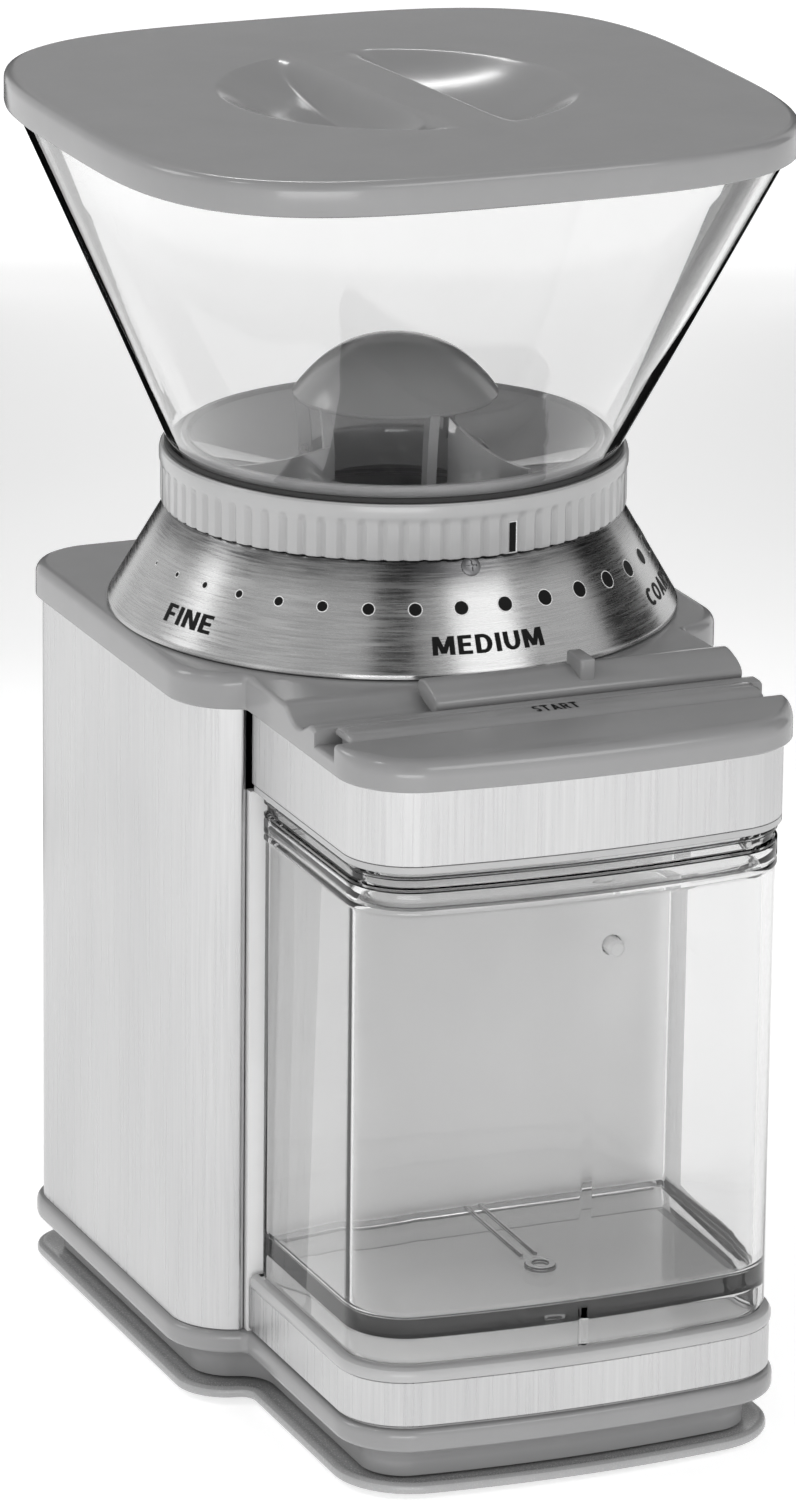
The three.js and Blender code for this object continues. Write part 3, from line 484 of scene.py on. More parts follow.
# ------------------------------------------------------------------ cord gland
# Black rubber sleeve where the mains cord would leave through the back of the channel, with
# ribs that let it flex.
gland_low, gland_high = (1000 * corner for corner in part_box("cord_gland"))
GLAND = [(1.2, -5), (2.9, -5), (2.9, 0.2), (3.5, 0.3), (3.7, 0.6), (3.7, 1.2), (3.5, 1.6),
         (3, 1.7), (2.8, 2.1), (3.1, 2.4), (3.1, 2.8), (2.6, 3.0), (2.5, 3.3), (2.8, 3.6),
         (2.7, 4.4), (2.2, 4.6), (1.2, 4.6)]
sleeve = lathe(GLAND, segments=40)
gland_x = (gland_low.x + gland_high.x) / 2
gland_z = (gland_low.z + gland_high.z) / 2
gland_start = gland_low.y - 1000 * BURR_AXIS_Y + 5
sleeve = np.stack([sleeve[..., 0] + gland_x, sleeve[..., 2] + gland_start, gland_z - sleeve[..., 1]], -1)
make("cord_gland_sleeve", stitch(sleeve, loop=True), RUBBER, stands_for=["cord_gland"])


# ------------------------------------------------------------------ lower band
# A strip of stainless steel bent round the nose under the container, brushed upright.
STRIP = 1.0


def brushed_steel(name, dark, light, roughness, stretch, anisotropy, turn=0.0):
    """Stainless steel with long scratches along the short axis of the stretch. Gloss spreads
    across the scratches, round the upright axis, or along it with a quarter turn."""
    material, tree, shader = surface(name, light, roughness, metallic=1,
                                     Anisotropic=anisotropy, Anisotropic_Rotation=turn)
    scratches = grain(tree, 1400, stretch, detail=6)
    cloud = grain(tree, 22, (1, 1, 0.4), detail=2)
    mixed = add(tree, "Math", {1: 0.6}, operation="MULTIPLY_ADD")
    tree.links.new(scratches, mixed.inputs[0])
    share = add(tree, "Math", {1: 0.4}, operation="MULTIPLY")
    tree.links.new(cloud, share.inputs[0])
    tree.links.new(share.outputs[0], mixed.inputs[2])
    tone(tree, mixed.outputs[0], dark, light, shader.inputs["Base Color"])
    between(tree, scratches, roughness - 0.07, roughness + 0.1, shader.inputs["Roughness"])
    relief(tree, scratches, shader, 0.00002, 0.6)
    tangent = add(tree, "Tangent", direction_type="RADIAL", axis="Z")
    tree.links.new(tangent.outputs[0], shader.inputs["Tangent"])
    return material


UPRIGHT = brushed_steel("brushed_upright", (0.48, 0.48, 0.485), (0.62, 0.62, 0.62), 0.3, (1, 1, 0.02), 0.7)


def strip(outline, z0, z1, thick=STRIP, edge=0.25):
    """A sheet bent along an open outline: up the outer face, over a softened edge and down the
    inner face, with both ends closed."""
    levels = [(edge, z0), (0, z0 + edge), (0, z1 - edge), (edge, z1),
              (thick - edge, z1), (thick, z1 - edge), (thick, z0 + edge), (thick - edge, z0)]
    rows = carry(outline, levels)
    count, across = rows.shape[:2]
    index = np.arange(count * across).reshape(count, across)
    index = np.vstack([index, index[:1]])
    a, b = index[:-1], index[1:]
    faces = np.stack([a[:, :-1], a[:, 1:], b[:, 1:], b[:, :-1]], -1).reshape(-1, 4).tolist()
    faces += [index[:-1, 0].tolist(), index[:-1, -1][::-1].tolist()]
    return rows.reshape(-1, 3), faces


NOSE = (48.4, -104.1, 4.1, 14.7)
ROOT = -41.5
nose_strip = np.vstack([[[-NOSE[0], ROOT, -1, 0]], nose_front(*NOSE), [[NOSE[0], ROOT, 1, 0]]])
make("lower_band", strip(nose_strip, 16.3, 26.2), UPRIGHT, stands_for=["base_band"])


# ------------------------------------------------------------------ container platform
# The grey plinth inside the lower band, whose rounded rim overlaps the band's top edge and
# carries the grounds container.
def closed_nose(nose, root, corner=3.0):
    """The nose outline closed straight across at the root, with small back corners."""
    half = nose[0]
    return np.vstack([nose_front(*nose), arc(half - corner, root - corner, corner, 0, 90, 6),
                      arc(-half + corner, root - corner, corner, 90, 180, 6)])


PALE = grey_moulding("pale_moulding", (0.4, 0.4, 0.402), (0.43, 0.43, 0.432), 0.2)
PLATFORM_LEVELS = [(1.1, 15.6), (1.1, 26.2), (-0.1, 26.2), (-0.3, 26.5), (-0.35, 27), (-0.3, 27.9),
                   (0.1, 28.6), (0.8, 28.95), (1.6, 29), (3, 29)]
make("platform_moulded", stitch(carry(closed_nose(NOSE, ROOT, 1.5), PLATFORM_LEVELS)), PALE,
     stands_for=["container_platform"])


# ------------------------------------------------------------------ body shell
# One sheet of brushed stainless steel wrapped round the back, its front edges rolled in beside
# the nose to leave a dark gap.
BODY = (60.5, -40.4, 63.2, 13.8)
SHELL_EDGE, ROLL, RETURN = 48.8, 1.2, 7.0


def shell_outline(body, edge, roll, inward):
    """Back, sides and front corners of the body. Each front corner runs on into a tighter roll
    that ends at the edge and returns inwards."""
    half, front, back, corner = body
    corner_x, corner_y = half - corner, front + corner
    reach = corner - roll
    turn = math.degrees(math.acos((edge + roll - corner_x) / reach))
    roll_x, roll_y = edge + roll, corner_y - reach * math.sin(math.radians(turn))
    right = np.vstack([
        [[edge, roll_y + inward, -1, 0]],
        arc(roll_x, roll_y, roll, 180, 360 - turn, 8),
        arc(corner_x, corner_y, corner, -turn, 0, 14)[1:],
        arc(corner_x, back - corner, corner, 0, 90, 16),
    ])
    left = right[::-1] * (-1, 1, -1, 1)
    return np.vstack([right, left])


make("body_shell", strip(shell_outline(BODY, SHELL_EDGE, ROLL, RETURN), 15.6, 153.9), UPRIGHT,
     stands_for=["body_skin"])


# ------------------------------------------------------------------ bay wall
# Grey wall at the back of the container's bay. It is flat, as the frame has it, and the
# interlock pin stands through it.
def finish_node(material, *names):
    """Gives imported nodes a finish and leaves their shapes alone."""
    for name in names:
        frame["nodes"][name].material_slots[0].material = material


# Partly painted light: the bay moulding is a pale grey raised to near white, so the bay seen through the
# clear cup reads bright.
LIT_BAY = grey_moulding("bay_moulding_painted_light", (0.84, 0.84, 0.84), (0.88, 0.88, 0.88), 0.2)
finish_node(LIT_BAY, "bay_wall", "interlock_pin")


# ------------------------------------------------------------------ platform panel
# The same pale moulding as the bay wall lies as a thin panel on the plinth, inside the cup's foot
# ring. It is painted reflection: it lightens the floor seen through the clear cup.
REFLECTION_PANEL_LEVELS = [(5, 28.9), (4.6, 29.1), (4.7, 29.2), (5, 29.25)]
make("platform_reflection_panel", stitch(carry(closed_nose(NOSE, ROOT, 1.5), REFLECTION_PANEL_LEVELS)), LIT_BAY)


# ------------------------------------------------------------------ works
# Motor, gears, burrs, chute, board and switches stay as the frame has them: black and green
# mouldings, sintered bronze, turned steel and hardened burr steel.
def black_moulding(name, roughness):
    """Black moulded plastic with a fine mottle."""
    material, tree, shader = surface(name, (0.025, 0.025, 0.027), roughness)
    mottle = grain(tree, 1200)
    tone(tree, mottle, (0.018, 0.018, 0.02), (0.035, 0.035, 0.038), shader.inputs["Base Color"])
    between(tree, mottle, roughness - 0.08, roughness + 0.08, shader.inputs["Roughness"])
    relief(tree, mottle, shader, 0.00004)
    return material


def sintered_bronze():
    """Pressed bronze powder, full of small pores."""
    material, tree, shader = surface("sintered_bronze", (0.5, 0.36, 0.15), 0.4, metallic=1)
    pores = grain(tree, 5000)
    tone(tree, pores, (0.36, 0.24, 0.09), (0.56, 0.41, 0.18), shader.inputs["Base Color"])
    relief(tree, pores, shader, 0.00003)
    return material


def green_laminate():
    """Green board whose woven glass shows faintly."""
    material, tree, shader = surface("green_laminate", (0.02, 0.14, 0.06), 0.35)
    weave = grain(tree, 1500, (1, 6, 1))
    tone(tree, weave, (0.015, 0.11, 0.045), (0.03, 0.18, 0.08), shader.inputs["Base Color"])
    relief(tree, weave, shader, 0.00002)
    return material


def laminations():
    """Thin stacked steel sheets: fine bands up the z axis."""
    material, tree, shader = surface("laminations", (0.3, 0.3, 0.3), 0.45, metallic=1)
    bands = grain(tree, 900, (0.02, 0.02, 1), detail=1)
    tone(tree, bands, (0.16, 0.15, 0.14), (0.42, 0.42, 0.42), shader.inputs["Base Color"])
    relief(tree, bands, shader, 0.00015)
    return material


def hardened_steel():
    """Burr steel with grinding marks across it."""
    material, tree, shader = surface("hardened_steel", (0.4, 0.39, 0.37), 0.35, metallic=1)
    ground = grain(tree, 700, (8, 1, 1))
    tone(tree, ground, (0.3, 0.29, 0.27), (0.46, 0.45, 0.43), shader.inputs["Base Color"])
    between(tree, ground, 0.26, 0.45, shader.inputs["Roughness"])
    relief(tree, ground, shader, 0.00002)
    return material


BLACK = black_moulding("black_moulding", 0.45)
# Partly painted light: the holder grey is lighter than the black mouldings, so the parts seen down the eye
# don't go black in their shade.
HOLDER_GREY = grey_moulding("holder_grey", (0.1, 0.1, 0.1), (0.14, 0.14, 0.14), 0.35)
finish_node(HOLDER_GREY, "burr_holder", "adjusting_ring", "head_housing")
finish_node(BLACK, "inner_frame", "gearbox_cover", "drive_gear", "impeller", "grind_chamber",
            "grounds_chute", "selector_pot", "start_switch", "interlock_switch")
finish_node(BRIGHT, "motor_can", "motor_end_bell", "motor_rotor", "burr_shaft")
finish_node(sintered_bronze(), "lower_bearing", "upper_bearing", "motor_pinion")
finish_node(laminations(), "stator_core")
finish_node(hardened_steel(), "lower_burr", "upper_burr")
finish_node(green_laminate(), "control_board")


# ------------------------------------------------------------------ head
# Above the bay: a grey frame whose edge shows as a thin strip, open over the container for the
# falling grounds, and a steel band round it.
HEAD_LEVELS = [(1.5, 136), (0.4, 136), (0, 136.3), (0, 137.6), (1.1, 137.6), (1.1, 153.9),
               (3.2, 153.9), (3.2, 138.2), (4.5, 138.2)]
head = make("head_frame_moulded", stitch(carry(closed_nose(NOSE, ROOT, 1.5), HEAD_LEVELS)), PALE,
            stands_for=["head_frame"])
DROP = (-11, 11, -82, -62)
carve(head, block(*DROP, 134, 140))
make("upper_band", strip(nose_strip, 137.6, 154.3), UPRIGHT, stands_for=["head_skin"])


# ------------------------------------------------------------------ top cover
# Grey moulding over body and nose. Its nose falls from a flat into a scooped channel for the
# cup selector, rises over a low hump, holds the start bar's groove and ends in a flat deck.
COVER_BODY = (62, -41.9, 64.7, 15.3)
COVER_NOSE = (50.1, -105.8, 4.1, 16.4)
COVER_TOP, COVER_BOTTOM = 161.4, 153.9
GROOVE = (-90.7, -79.9)
THROAT_RADIUS = 45.4


def cover_height(y):
    """Height of the cover down its length: a sine scoop between the flat and the hump, a
    square groove, and a deck that droops towards the front lip."""
    scoop = np.clip((-63.4 - y) / 13.2, 0, 1)
    z = COVER_TOP - 2.6 * np.sin(np.pi * scoop) ** 1.2 - 0.7 * scoop
    z = np.where(y < GROOVE[1] + 0.5, z - 0.35 * np.clip((GROOVE[1] + 0.5 - y) / 0.8, 0, 1), z)
    z = np.where((y > GROOVE[0]) & (y < GROOVE[1]), COVER_TOP - 4, z)
    deck = COVER_TOP - 0.7 - 0.35 * np.clip((GROOVE[0] - y) / 16, 0, 1) ** 2
    return np.where(y <= GROOVE[0], deck, z)


def cover_shape():
    """The tee outline carried up its side and over a rounded edge that follows the height
    below it, then closed by rows that join points at the same y on the left and right."""
    walls = [edge + step for edge in GROOVE for step in (-0.01, 0.01)]
    stops = np.concatenate([np.linspace(-63.4, -76.6, 15), [-77.6, -78.6, -79.2, -79.6], walls,
                            [-91, -91.4, -60, -52]])
    outline = tee(COVER_BODY, COVER_NOSE, 1.2, stops)
    x, y = outline[:, 0], outline[:, 1]
    on_body = np.clip((y + 46) / 6, 0, 1)
    at_front = np.clip((-92 - y) / 8, 0, 1)
    fillet = 0.9 + 1.5 * on_body + 2.4 * at_front
    top = cover_height(y)
    xy, out = outline[:, :2], outline[:, 2:]
    rows = [np.column_stack([xy - 1.6 * out, np.full(len(xy), COVER_BOTTOM)]),
            np.column_stack([xy - 0.4 * out, np.full(len(xy), COVER_BOTTOM)]),
            np.column_stack([xy, np.full(len(xy), COVER_BOTTOM + 0.4)])]
    for angle in np.radians([0, 12, 24, 36, 48, 60, 72, 84, 90]):
        inset = fillet * (1 - math.cos(angle))
        rows.append(np.column_stack([xy - inset[:, None] * out, top - fillet * (1 - math.sin(angle))]))
    rows.append(np.column_stack([xy - (fillet[:, None] + 0.3) * out, top]))
    points, faces = stitch(np.stack(rows), caps=False)
    count = len(xy)
    faces.append(list(range(count))[::-1])
    # The outline starts at the left of the nose front and ends at the left of the nose side.
    last = np.arange(count) + (len(rows) - 1) * count
    middle = (len(nose_front(*COVER_NOSE)) - 1) // 2
    ring = np.roll(last, -middle)
    right, left = ring[:count // 2 + 1], np.roll(ring[::-1], 1)[:count // 2 + 1]
    for a, b, c, d in zip(left[:-1], right[:-1], right[1:], left[1:]):
        face = [i for k, i in enumerate((a, b, c, d)) if i not in (a, b, c, d)[:k]]
        faces.append([int(i) for i in face])
    return points, faces


cover = make("cover_moulded", cover_shape(), GREY, stands_for=["top_cover"])
HOLLOW_BODY = (58.5, -38.4, 61.2, 11.8)
HOLLOW_NOSE = (46.4, -102.1, 4.1, 12.7)
carve(cover,
      stitch(carry(tee(HOLLOW_BODY, HOLLOW_NOSE, 1), [(0, 153), (0, 156.4)])),
      rod(THROAT_RADIUS, 150, 164, segments=96),
      block(-46.3, 46.3, -88.3, -82.3, 153, 159),
      block(-15.8, 15.8, -71.2, -68, 153, 163))


# ------------------------------------------------------------------ cup selector
# A grey lens-shaped bar that lies in the scoop and slides sideways, with a small tab to push.
def along_x(section, stations):
    """Carries a closed (y, z) section along x. Stations are (x, shrink): the section moves
    towards its own middle by the shrink."""
    section = np.array(section, float)
    middle = section.mean(0)
    reach = np.linalg.norm(section - middle, axis=1, keepdims=True)
    rows = []
    for x, shrink in stations:
        yz = middle + (section - middle) * (1 - shrink / np.maximum(reach, 1e-6)).clip(0)
        rows.append(np.column_stack([np.full(len(yz), x), yz]))
    return np.stack(rows)


def lens(y, z, long, thick, tilt, steps=56):
    """A tilted superellipse of exponent 2.3 in y and z."""
    a = np.linspace(0, 2 * np.pi, steps, endpoint=False)
    u = long * np.sign(np.cos(a)) * np.abs(np.cos(a)) ** (2 / 2.3)
    v = thick * np.sign(np.sin(a)) * np.abs(np.sin(a)) ** (2 / 2.3)
    c, s = math.cos(math.radians(tilt)), math.sin(math.radians(tilt))
    return np.column_stack([y + u * c - v * s, z + u * s + v * c])


def softened(start, end, edge):
    """Stations along x whose ends are rounded off by the edge."""
    turn = np.radians([0, 30, 60, 90])
    first = [(start + edge * (1 - math.sin(t)), edge * (1 - math.cos(t))) for t in turn[::-1]]
    return first + [(start + end - x, shrink) for x, shrink in first[::-1]]


def soft_block(x0, x1, y0, y1, z0, z1, edge):
    """A box with every upright edge rounded, and its top and bottom edges too."""
    plan = 1.4 * edge
    corners = [(x1 - plan, y0 + plan, -90), (x1 - plan, y1 - plan, 0),
               (x0 + plan, y1 - plan, 90), (x0 + plan, y0 + plan, 180)]
    ring = np.vstack([arc(x, y, plan, a, a + 90, 5) for x, y, a in corners])
    turn = np.radians([0, 30, 60, 90])
    low = [(edge * (1 - math.sin(t)), z0 + edge * (1 - math.cos(t))) for t in turn]
    high = [(inset, z1 + z0 - z) for inset, z in low[::-1]]
    return stitch(carry(ring, low + high))


SELECTOR_Y, SELECTOR_Z = -69.6, 161.8
SELECTOR_X = (-21, 48)
TAB_X = sum(SELECTOR_X) / 2
bar = stitch(along_x(lens(SELECTOR_Y, SELECTOR_Z, 5.4, 2.3, 16), softened(*SELECTOR_X, 0.5)))
tab = soft_block(TAB_X - 1.7, TAB_X + 1.7, SELECTOR_Y - 3.8, SELECTOR_Y + 4.2,
                 SELECTOR_Z, SELECTOR_Z + 5.4, 0.5)
stem = block(TAB_X - 1.4, TAB_X + 1.4, SELECTOR_Y - 1.2, SELECTOR_Y + 1.2, 152.6, SELECTOR_Z)
make("selector_bar", together(bar, tab, stem), GREY, body="selector", stands_for=["cup_selector"])


# ------------------------------------------------------------------ start bar
# A long grey push bar in its groove: a low arch that runs nearly the width of the nose, with a
# keel below it and the printed word on its crest.
START_HALF, START_Y, START_WIDTH, START_CREST = 46, -85.3, 10.2, 161.7


def arch_section():
    """A flat-topped arch that falls 1.5 |t|^3.5 from its crest, over rounded skirts."""
    t = np.linspace(-1, 1, 33)
    y = START_Y + START_WIDTH / 2 * t
    z = START_CREST - 1.5 * np.abs(t) ** 3.5
    back, front = START_Y + START_WIDTH / 2, START_Y - START_WIDTH / 2
    skirt, hem = START_CREST - 2, START_CREST - 2.2
    under = [(back, skirt), (back - 0.3, hem), (front + 0.3, hem), (front, skirt)]
    return np.vstack([np.column_stack([y, z]), under])[::-1]


push_bar = stitch(along_x(arch_section(), softened(-START_HALF, START_HALF, 1.2)))
keel = block(-45, 45, START_Y - 2.7, START_Y + 2.7, 156.8, START_CREST - 2)
finger = block(6, 12, START_Y - 2, START_Y + 2, 155.8, 157.5)
make("start_push_bar", together(push_bar, keel, finger), GREY, body="start", stands_for=["start_bar"])


# ------------------------------------------------------------------ start springs
# Two coils of spring wire that stand on the board and push the bar up.
SPRING_RADIUS, WIRE, SPRING_TURNS, SPRING_FOOT, SPRING_TOP = 2.2, 0.4, 3, 150.8, 156.6


def coil(x, y, steps=96):
    """A helix that climbs along (3 t^2 - 2 t^3) + t over 2, with a round section in the plane of
    the radius and the axis."""
    t = np.linspace(0, 1, steps)
    turn = 2 * np.pi * SPRING_TURNS * t
    climb = SPRING_FOOT + WIRE + (SPRING_TOP - SPRING_FOOT - 2 * WIRE) * (3 * t**2 - 2 * t**3 + t) / 2
    around = np.linspace(0, 2 * np.pi, 12, endpoint=False)
    radius = SPRING_RADIUS + WIRE * np.cos(around)
    return stitch(np.stack([x + radius * np.cos(turn)[:, None], y + radius * np.sin(turn)[:, None],
                            climb[:, None] + WIRE * np.sin(around)], -1))


for side, x in (("left", -34), ("right", 34)):
    spring = make(f"start_spring_{side}_coil", coil(x, START_Y), BRIGHT, stands_for=[f"start_spring_{side}"])
    foot = Vector(set_down((x, START_Y, SPRING_FOOT)))
    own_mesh(spring)


def print_ink(name, shade, roughness, gloss=0.5):
    """A thin printed film, uneven by a fifth of its shade."""
    material, tree, shader = surface(name, (shade,) * 3, roughness, Specular_IOR_Level=gloss)
    film = grain(tree, 3000)
    tone(tree, film, (shade * 0.8,) * 3, (shade * 1.25,) * 3, shader.inputs["Base Color"])
    relief(tree, film, shader, 0.000005)
    return material


INK = print_ink("black_ink", 0.008, 0.5, gloss=0.08)


def quad(x0, x1, y, thick=0.19):
    """A level stroke of a letter, as a one-cell shape."""
    return [[(x0, y - thick / 2), (x1, y - thick / 2), (x1, y + thick / 2), (x0, y + thick / 2)]]


def stroke(x0, x1, y0=0.0, y1=1.0, thick=0.25):
    """An upright or slanted stroke with its ends cut level."""
    corners = [(x0 - thick / 2, y0), (x0 + thick / 2, y0), (x1 + thick / 2, y1), (x1 - thick / 2, y1)]
    return [corners if y1 > y0 else corners[::-1]]


def bend(x, y, wide, high, start, end, cells=14):
    """An elliptical stroke between two angles, 0.25 thick at its sides and 0.19 at top and foot."""
    a = np.radians(np.linspace(start, end, cells + 1))
    outer = np.column_stack([x + wide * np.cos(a), y + high * np.sin(a)])
    inner = np.column_stack([x + (wide - 0.25) * np.cos(a), y + (high - 0.19) * np.sin(a)])
    return [list(map(tuple, (inner[i], outer[i], outer[i + 1], inner[i + 1]))) for i in range(cells)]


STEM = stroke(0.11, 0.11)
HEAD, WAIST, SOLE = 0.915, 0.51, 0.085
CAPITALS = {
    "A": (0.86, stroke(0.11, 0.43) + stroke(0.75, 0.43) + quad(0.2, 0.66, 0.28)),
    "C": (0.8, bend(0.44, 0.5, 0.44, 0.5, 48, 312)),
    "D": (0.8, STEM + quad(0.1, 0.4, HEAD) + quad(0.1, 0.4, SOLE) + bend(0.38, 0.5, 0.42, 0.5, -90, 90)),
    "E": (0.66, STEM + quad(0.1, 0.66, HEAD) + quad(0.1, 0.6, WAIST) + quad(0.1, 0.66, SOLE)),
    "F": (0.62, STEM + quad(0.1, 0.62, HEAD) + quad(0.1, 0.56, 0.48)),
    "I": (0.22, STEM),
    "M": (1.02, STEM + stroke(0.91, 0.91) + stroke(0.17, 0.51, 1, 0.08) + stroke(0.85, 0.51, 1, 0.08)),
    "N": (0.84, STEM + stroke(0.73, 0.73) + stroke(0.15, 0.69, 1, 0)),
    "O": (0.92, bend(0.46, 0.5, 0.46, 0.5, 0, 360, 24)),
    "R": (0.78, STEM + quad(0.1, 0.42, HEAD) + quad(0.1, 0.42, 0.47) + bend(0.4, 0.69, 0.34, 0.31, -90, 90)
          + stroke(0.65, 0.42, 0, 0.45)),
    "S": (0.72, bend(0.36, 0.715, 0.34, 0.285, 25, 270) + bend(0.36, 0.285, 0.34, 0.285, -155, 90)),
    "T": (0.76, quad(0, 0.76, HEAD) + stroke(0.38, 0.38)),
    "U": (0.8, stroke(0.11, 0.11, 0.4) + stroke(0.69, 0.69, 0.4) + bend(0.4, 0.42, 0.4, 0.42, 180, 360)),
}


def lettering(word, width, height):
    """Bold sans-serif capitals built of strokes, as (x, y) points and faces, fitted to a width
    and a height about the word's middle."""
    cells, x = [], 0.0
    for letter in word:
        advance, strokes_of = CAPITALS[letter]
        cells += [[(px + x, py) for px, py in cell] for cell in strokes_of]
        x += advance + 0.19
    points = np.array(cells).reshape(-1, 2) - ((x - 0.19) / 2, 0.5)
    return points * (width / (x - 0.19), height), np.arange(len(points)).reshape(-1, 4).tolist()


letters, strokes = lettering("START", 10, 3.7)
start_word = np.column_stack([letters + (1, START_Y), np.full(len(letters), START_CREST + 0.03)])
make("start_word", (start_word, strokes), INK, body="start")


# ------------------------------------------------------------------ dial cone
# Spun stainless cone round the top of the body, with a small upright lip at its foot and its
# brushing running round it. Just under the collar its colour is darkened by painted shade.
CONE_FOOT, CONE_HEAD = (60.6, 163.1), (48.9, 183.3)
CONE_SLANT = math.hypot(CONE_FOOT[0] - CONE_HEAD[0], CONE_HEAD[1] - CONE_FOOT[1])
CONE_IN = (CONE_FOOT[0] - CONE_HEAD[0]) / CONE_SLANT
CONE_UP = (CONE_HEAD[1] - CONE_FOOT[1]) / CONE_SLANT
PAINTED_SHADE_FOOT, PAINTED_SHADE_HEAD = 0.1755, 0.183


def spun_steel():
    """Steel brushed round the burr axis. The noise reads the direction from the axis, so a
    scratch runs round the cone and closes, and slow changes round it paint soft reflection bands
    into the colour. Painted shade darkens it towards the collar."""
    material, tree, shader = surface("spun_steel", (0.6, 0.6, 0.6), 0.3, metallic=1,
                                     Anisotropic=0.75, Anisotropic_Rotation=0.25)
    place = add(tree, "TexCoord")
    centred = add(tree, "VectorMath", {1: (0, -BURR_AXIS_Y, 0)}, operation="ADD")
    tree.links.new(place.outputs["Object"], centred.inputs[0])
    flat = add(tree, "VectorMath", {1: (1, 1, 0)}, operation="MULTIPLY")
    tree.links.new(centred.outputs[0], flat.inputs[0])
    direction = add(tree, "VectorMath", operation="NORMALIZE")
    tree.links.new(flat.outputs[0], direction.inputs[0])
    level = add(tree, "VectorMath", {1: (0, 0, 1)}, operation="MULTIPLY")
    tree.links.new(centred.outputs[0], level.inputs[0])

    def streaks(round_scale, up_scale, detail):
        """Noise whose grains are long round the axis and short up it."""
        scaled = add(tree, "VectorMath", {"Scale": round_scale}, operation="SCALE")
        tree.links.new(direction.outputs[0], scaled.inputs[0])
        raised = add(tree, "VectorMath", {"Scale": up_scale}, operation="SCALE")
        tree.links.new(level.outputs[0], raised.inputs[0])
        joined = add(tree, "VectorMath", operation="ADD")
        tree.links.new(scaled.outputs[0], joined.inputs[0])
        tree.links.new(raised.outputs[0], joined.inputs[1])
        noise = add(tree, "TexNoise", {"Scale": 1.0, "Detail": detail, "Roughness": 0.65})
        tree.links.new(joined.outputs[0], noise.inputs["Vector"])
        return noise.outputs["Fac"]

    scratches = streaks(5, 2600, 5)
    # Painted reflection: slow bands round the axis in the colour stand in for the streaks that brushing
    # spreads.
    painted_bands = streaks(2.4, 12, 1)
    mixed = add(tree, "Mix", {"Factor": 0.5}, data_type="FLOAT")
    tree.links.new(scratches, mixed.inputs["A"])
    tree.links.new(painted_bands, mixed.inputs["B"])
    # Painted shade: from 175.5 mm up to the cone's head the colour is pulled darker, for the shade under the
    # collar.
    height = add(tree, "SeparateXYZ")
    tree.links.new(centred.outputs[0], height.inputs[0])
    painted_shade = add(tree, "MapRange", {"From Min": PAINTED_SHADE_FOOT, "From Max": PAINTED_SHADE_HEAD,
                                     "To Min": 0, "To Max": 0.8}, interpolation_type="SMOOTHSTEP")
    tree.links.new(height.outputs["Z"], painted_shade.inputs["Value"])
    darker = add(tree, "Math", {1: -0.4}, operation="MULTIPLY_ADD")
    tree.links.new(painted_shade.outputs["Result"], darker.inputs[0])
    tree.links.new(mixed.outputs["Result"], darker.inputs[2])
    steel = tone(tree, darker.outputs[0], (0.3, 0.3, 0.3), (0.58, 0.58, 0.58),
                 shader.inputs["Base Color"])
    # This near-black stop is reached mostly where the painted shade darkens the colour.
    steel.elements.new(0.1).color = (0.09, 0.09, 0.092, 1)
    between(tree, scratches, 0.2, 0.34, shader.inputs["Roughness"])
    relief(tree, scratches, shader, 0.00002, 0.6)
    tangent = add(tree, "Tangent", direction_type="RADIAL", axis="Z")
    tree.links.new(tangent.outputs[0], shader.inputs["Tangent"])
    return material


def on_cone(azimuth, height, across, along=0.0, lift=0.0):
    """Wraps flat millimetres onto the cone: across runs round it from the azimuth, along runs
    up the slant from the height, and lift stands off its face."""
    across, along = np.broadcast_arrays(across, along)
    radius = CONE_FOOT[0] - (height - CONE_FOOT[1]) * CONE_IN / CONE_UP
    angle = math.radians(azimuth) + across / radius
    r = radius - along * CONE_IN + lift * CONE_UP
    return np.stack([r * np.cos(angle), r * np.sin(angle), height + along * CONE_UP + lift * CONE_IN], -1)


CONE_PROFILE = [(59.7, 161.6), (60.7, 161.6), (60.9, 161.8), (60.9, 162.5), (60.8, 162.8), CONE_FOOT,
                (60.37, 163.5), (49.13, 182.9), CONE_HEAD, (48.6, 183.6), (48.1, 183.6), (47.8, 183.2),
                (59.6, 162.9)]
SPUN = spun_steel()
make("dial_cone_spun", stitch(lathe(CONE_PROFILE, segments=240), loop=True), SPUN,
     stands_for=["dial_cone"])


# ------------------------------------------------------------------ dial print
# Eighteen black dots that grow from fine to coarse, each in a pale etched ring, and three
# plain words below them.
DOT_COUNT, DOT_FIRST, DOT_STEP, DOT_HEIGHT = 18, -180, 10.36, 174.8


def dot(azimuth, radius, lift, count=24):
    """A disc wrapped onto the cone: rim points at radius times the cosine and sine."""
    a = np.linspace(0, 2 * np.pi, count, endpoint=False)
    rim = on_cone(azimuth, DOT_HEIGHT, radius * np.cos(a), radius * np.sin(a), lift)
    return rim, [list(range(count))]


sizes = 0.35 + 1.5 * np.sin(0.105 * np.arange(DOT_COUNT))
azimuths = DOT_FIRST + DOT_STEP * np.arange(DOT_COUNT)
make("dial_dots", together(*[dot(a, r, 0.06) for a, r in zip(azimuths, sizes)]), INK)
ETCH = print_ink("etched_white", 0.75, 0.5)
make("dial_dot_rings", together(*[dot(a, r + 0.2, 0.03) for a, r in zip(azimuths, sizes)]), ETCH)


def dial_word(word, azimuth, height, width, capital):
    """A word of that width and capital height, wrapped onto the cone."""
    letters, strokes = lettering(word, width, capital)
    return on_cone(azimuth, height, letters[:, 0], letters[:, 1], 0.07), strokes


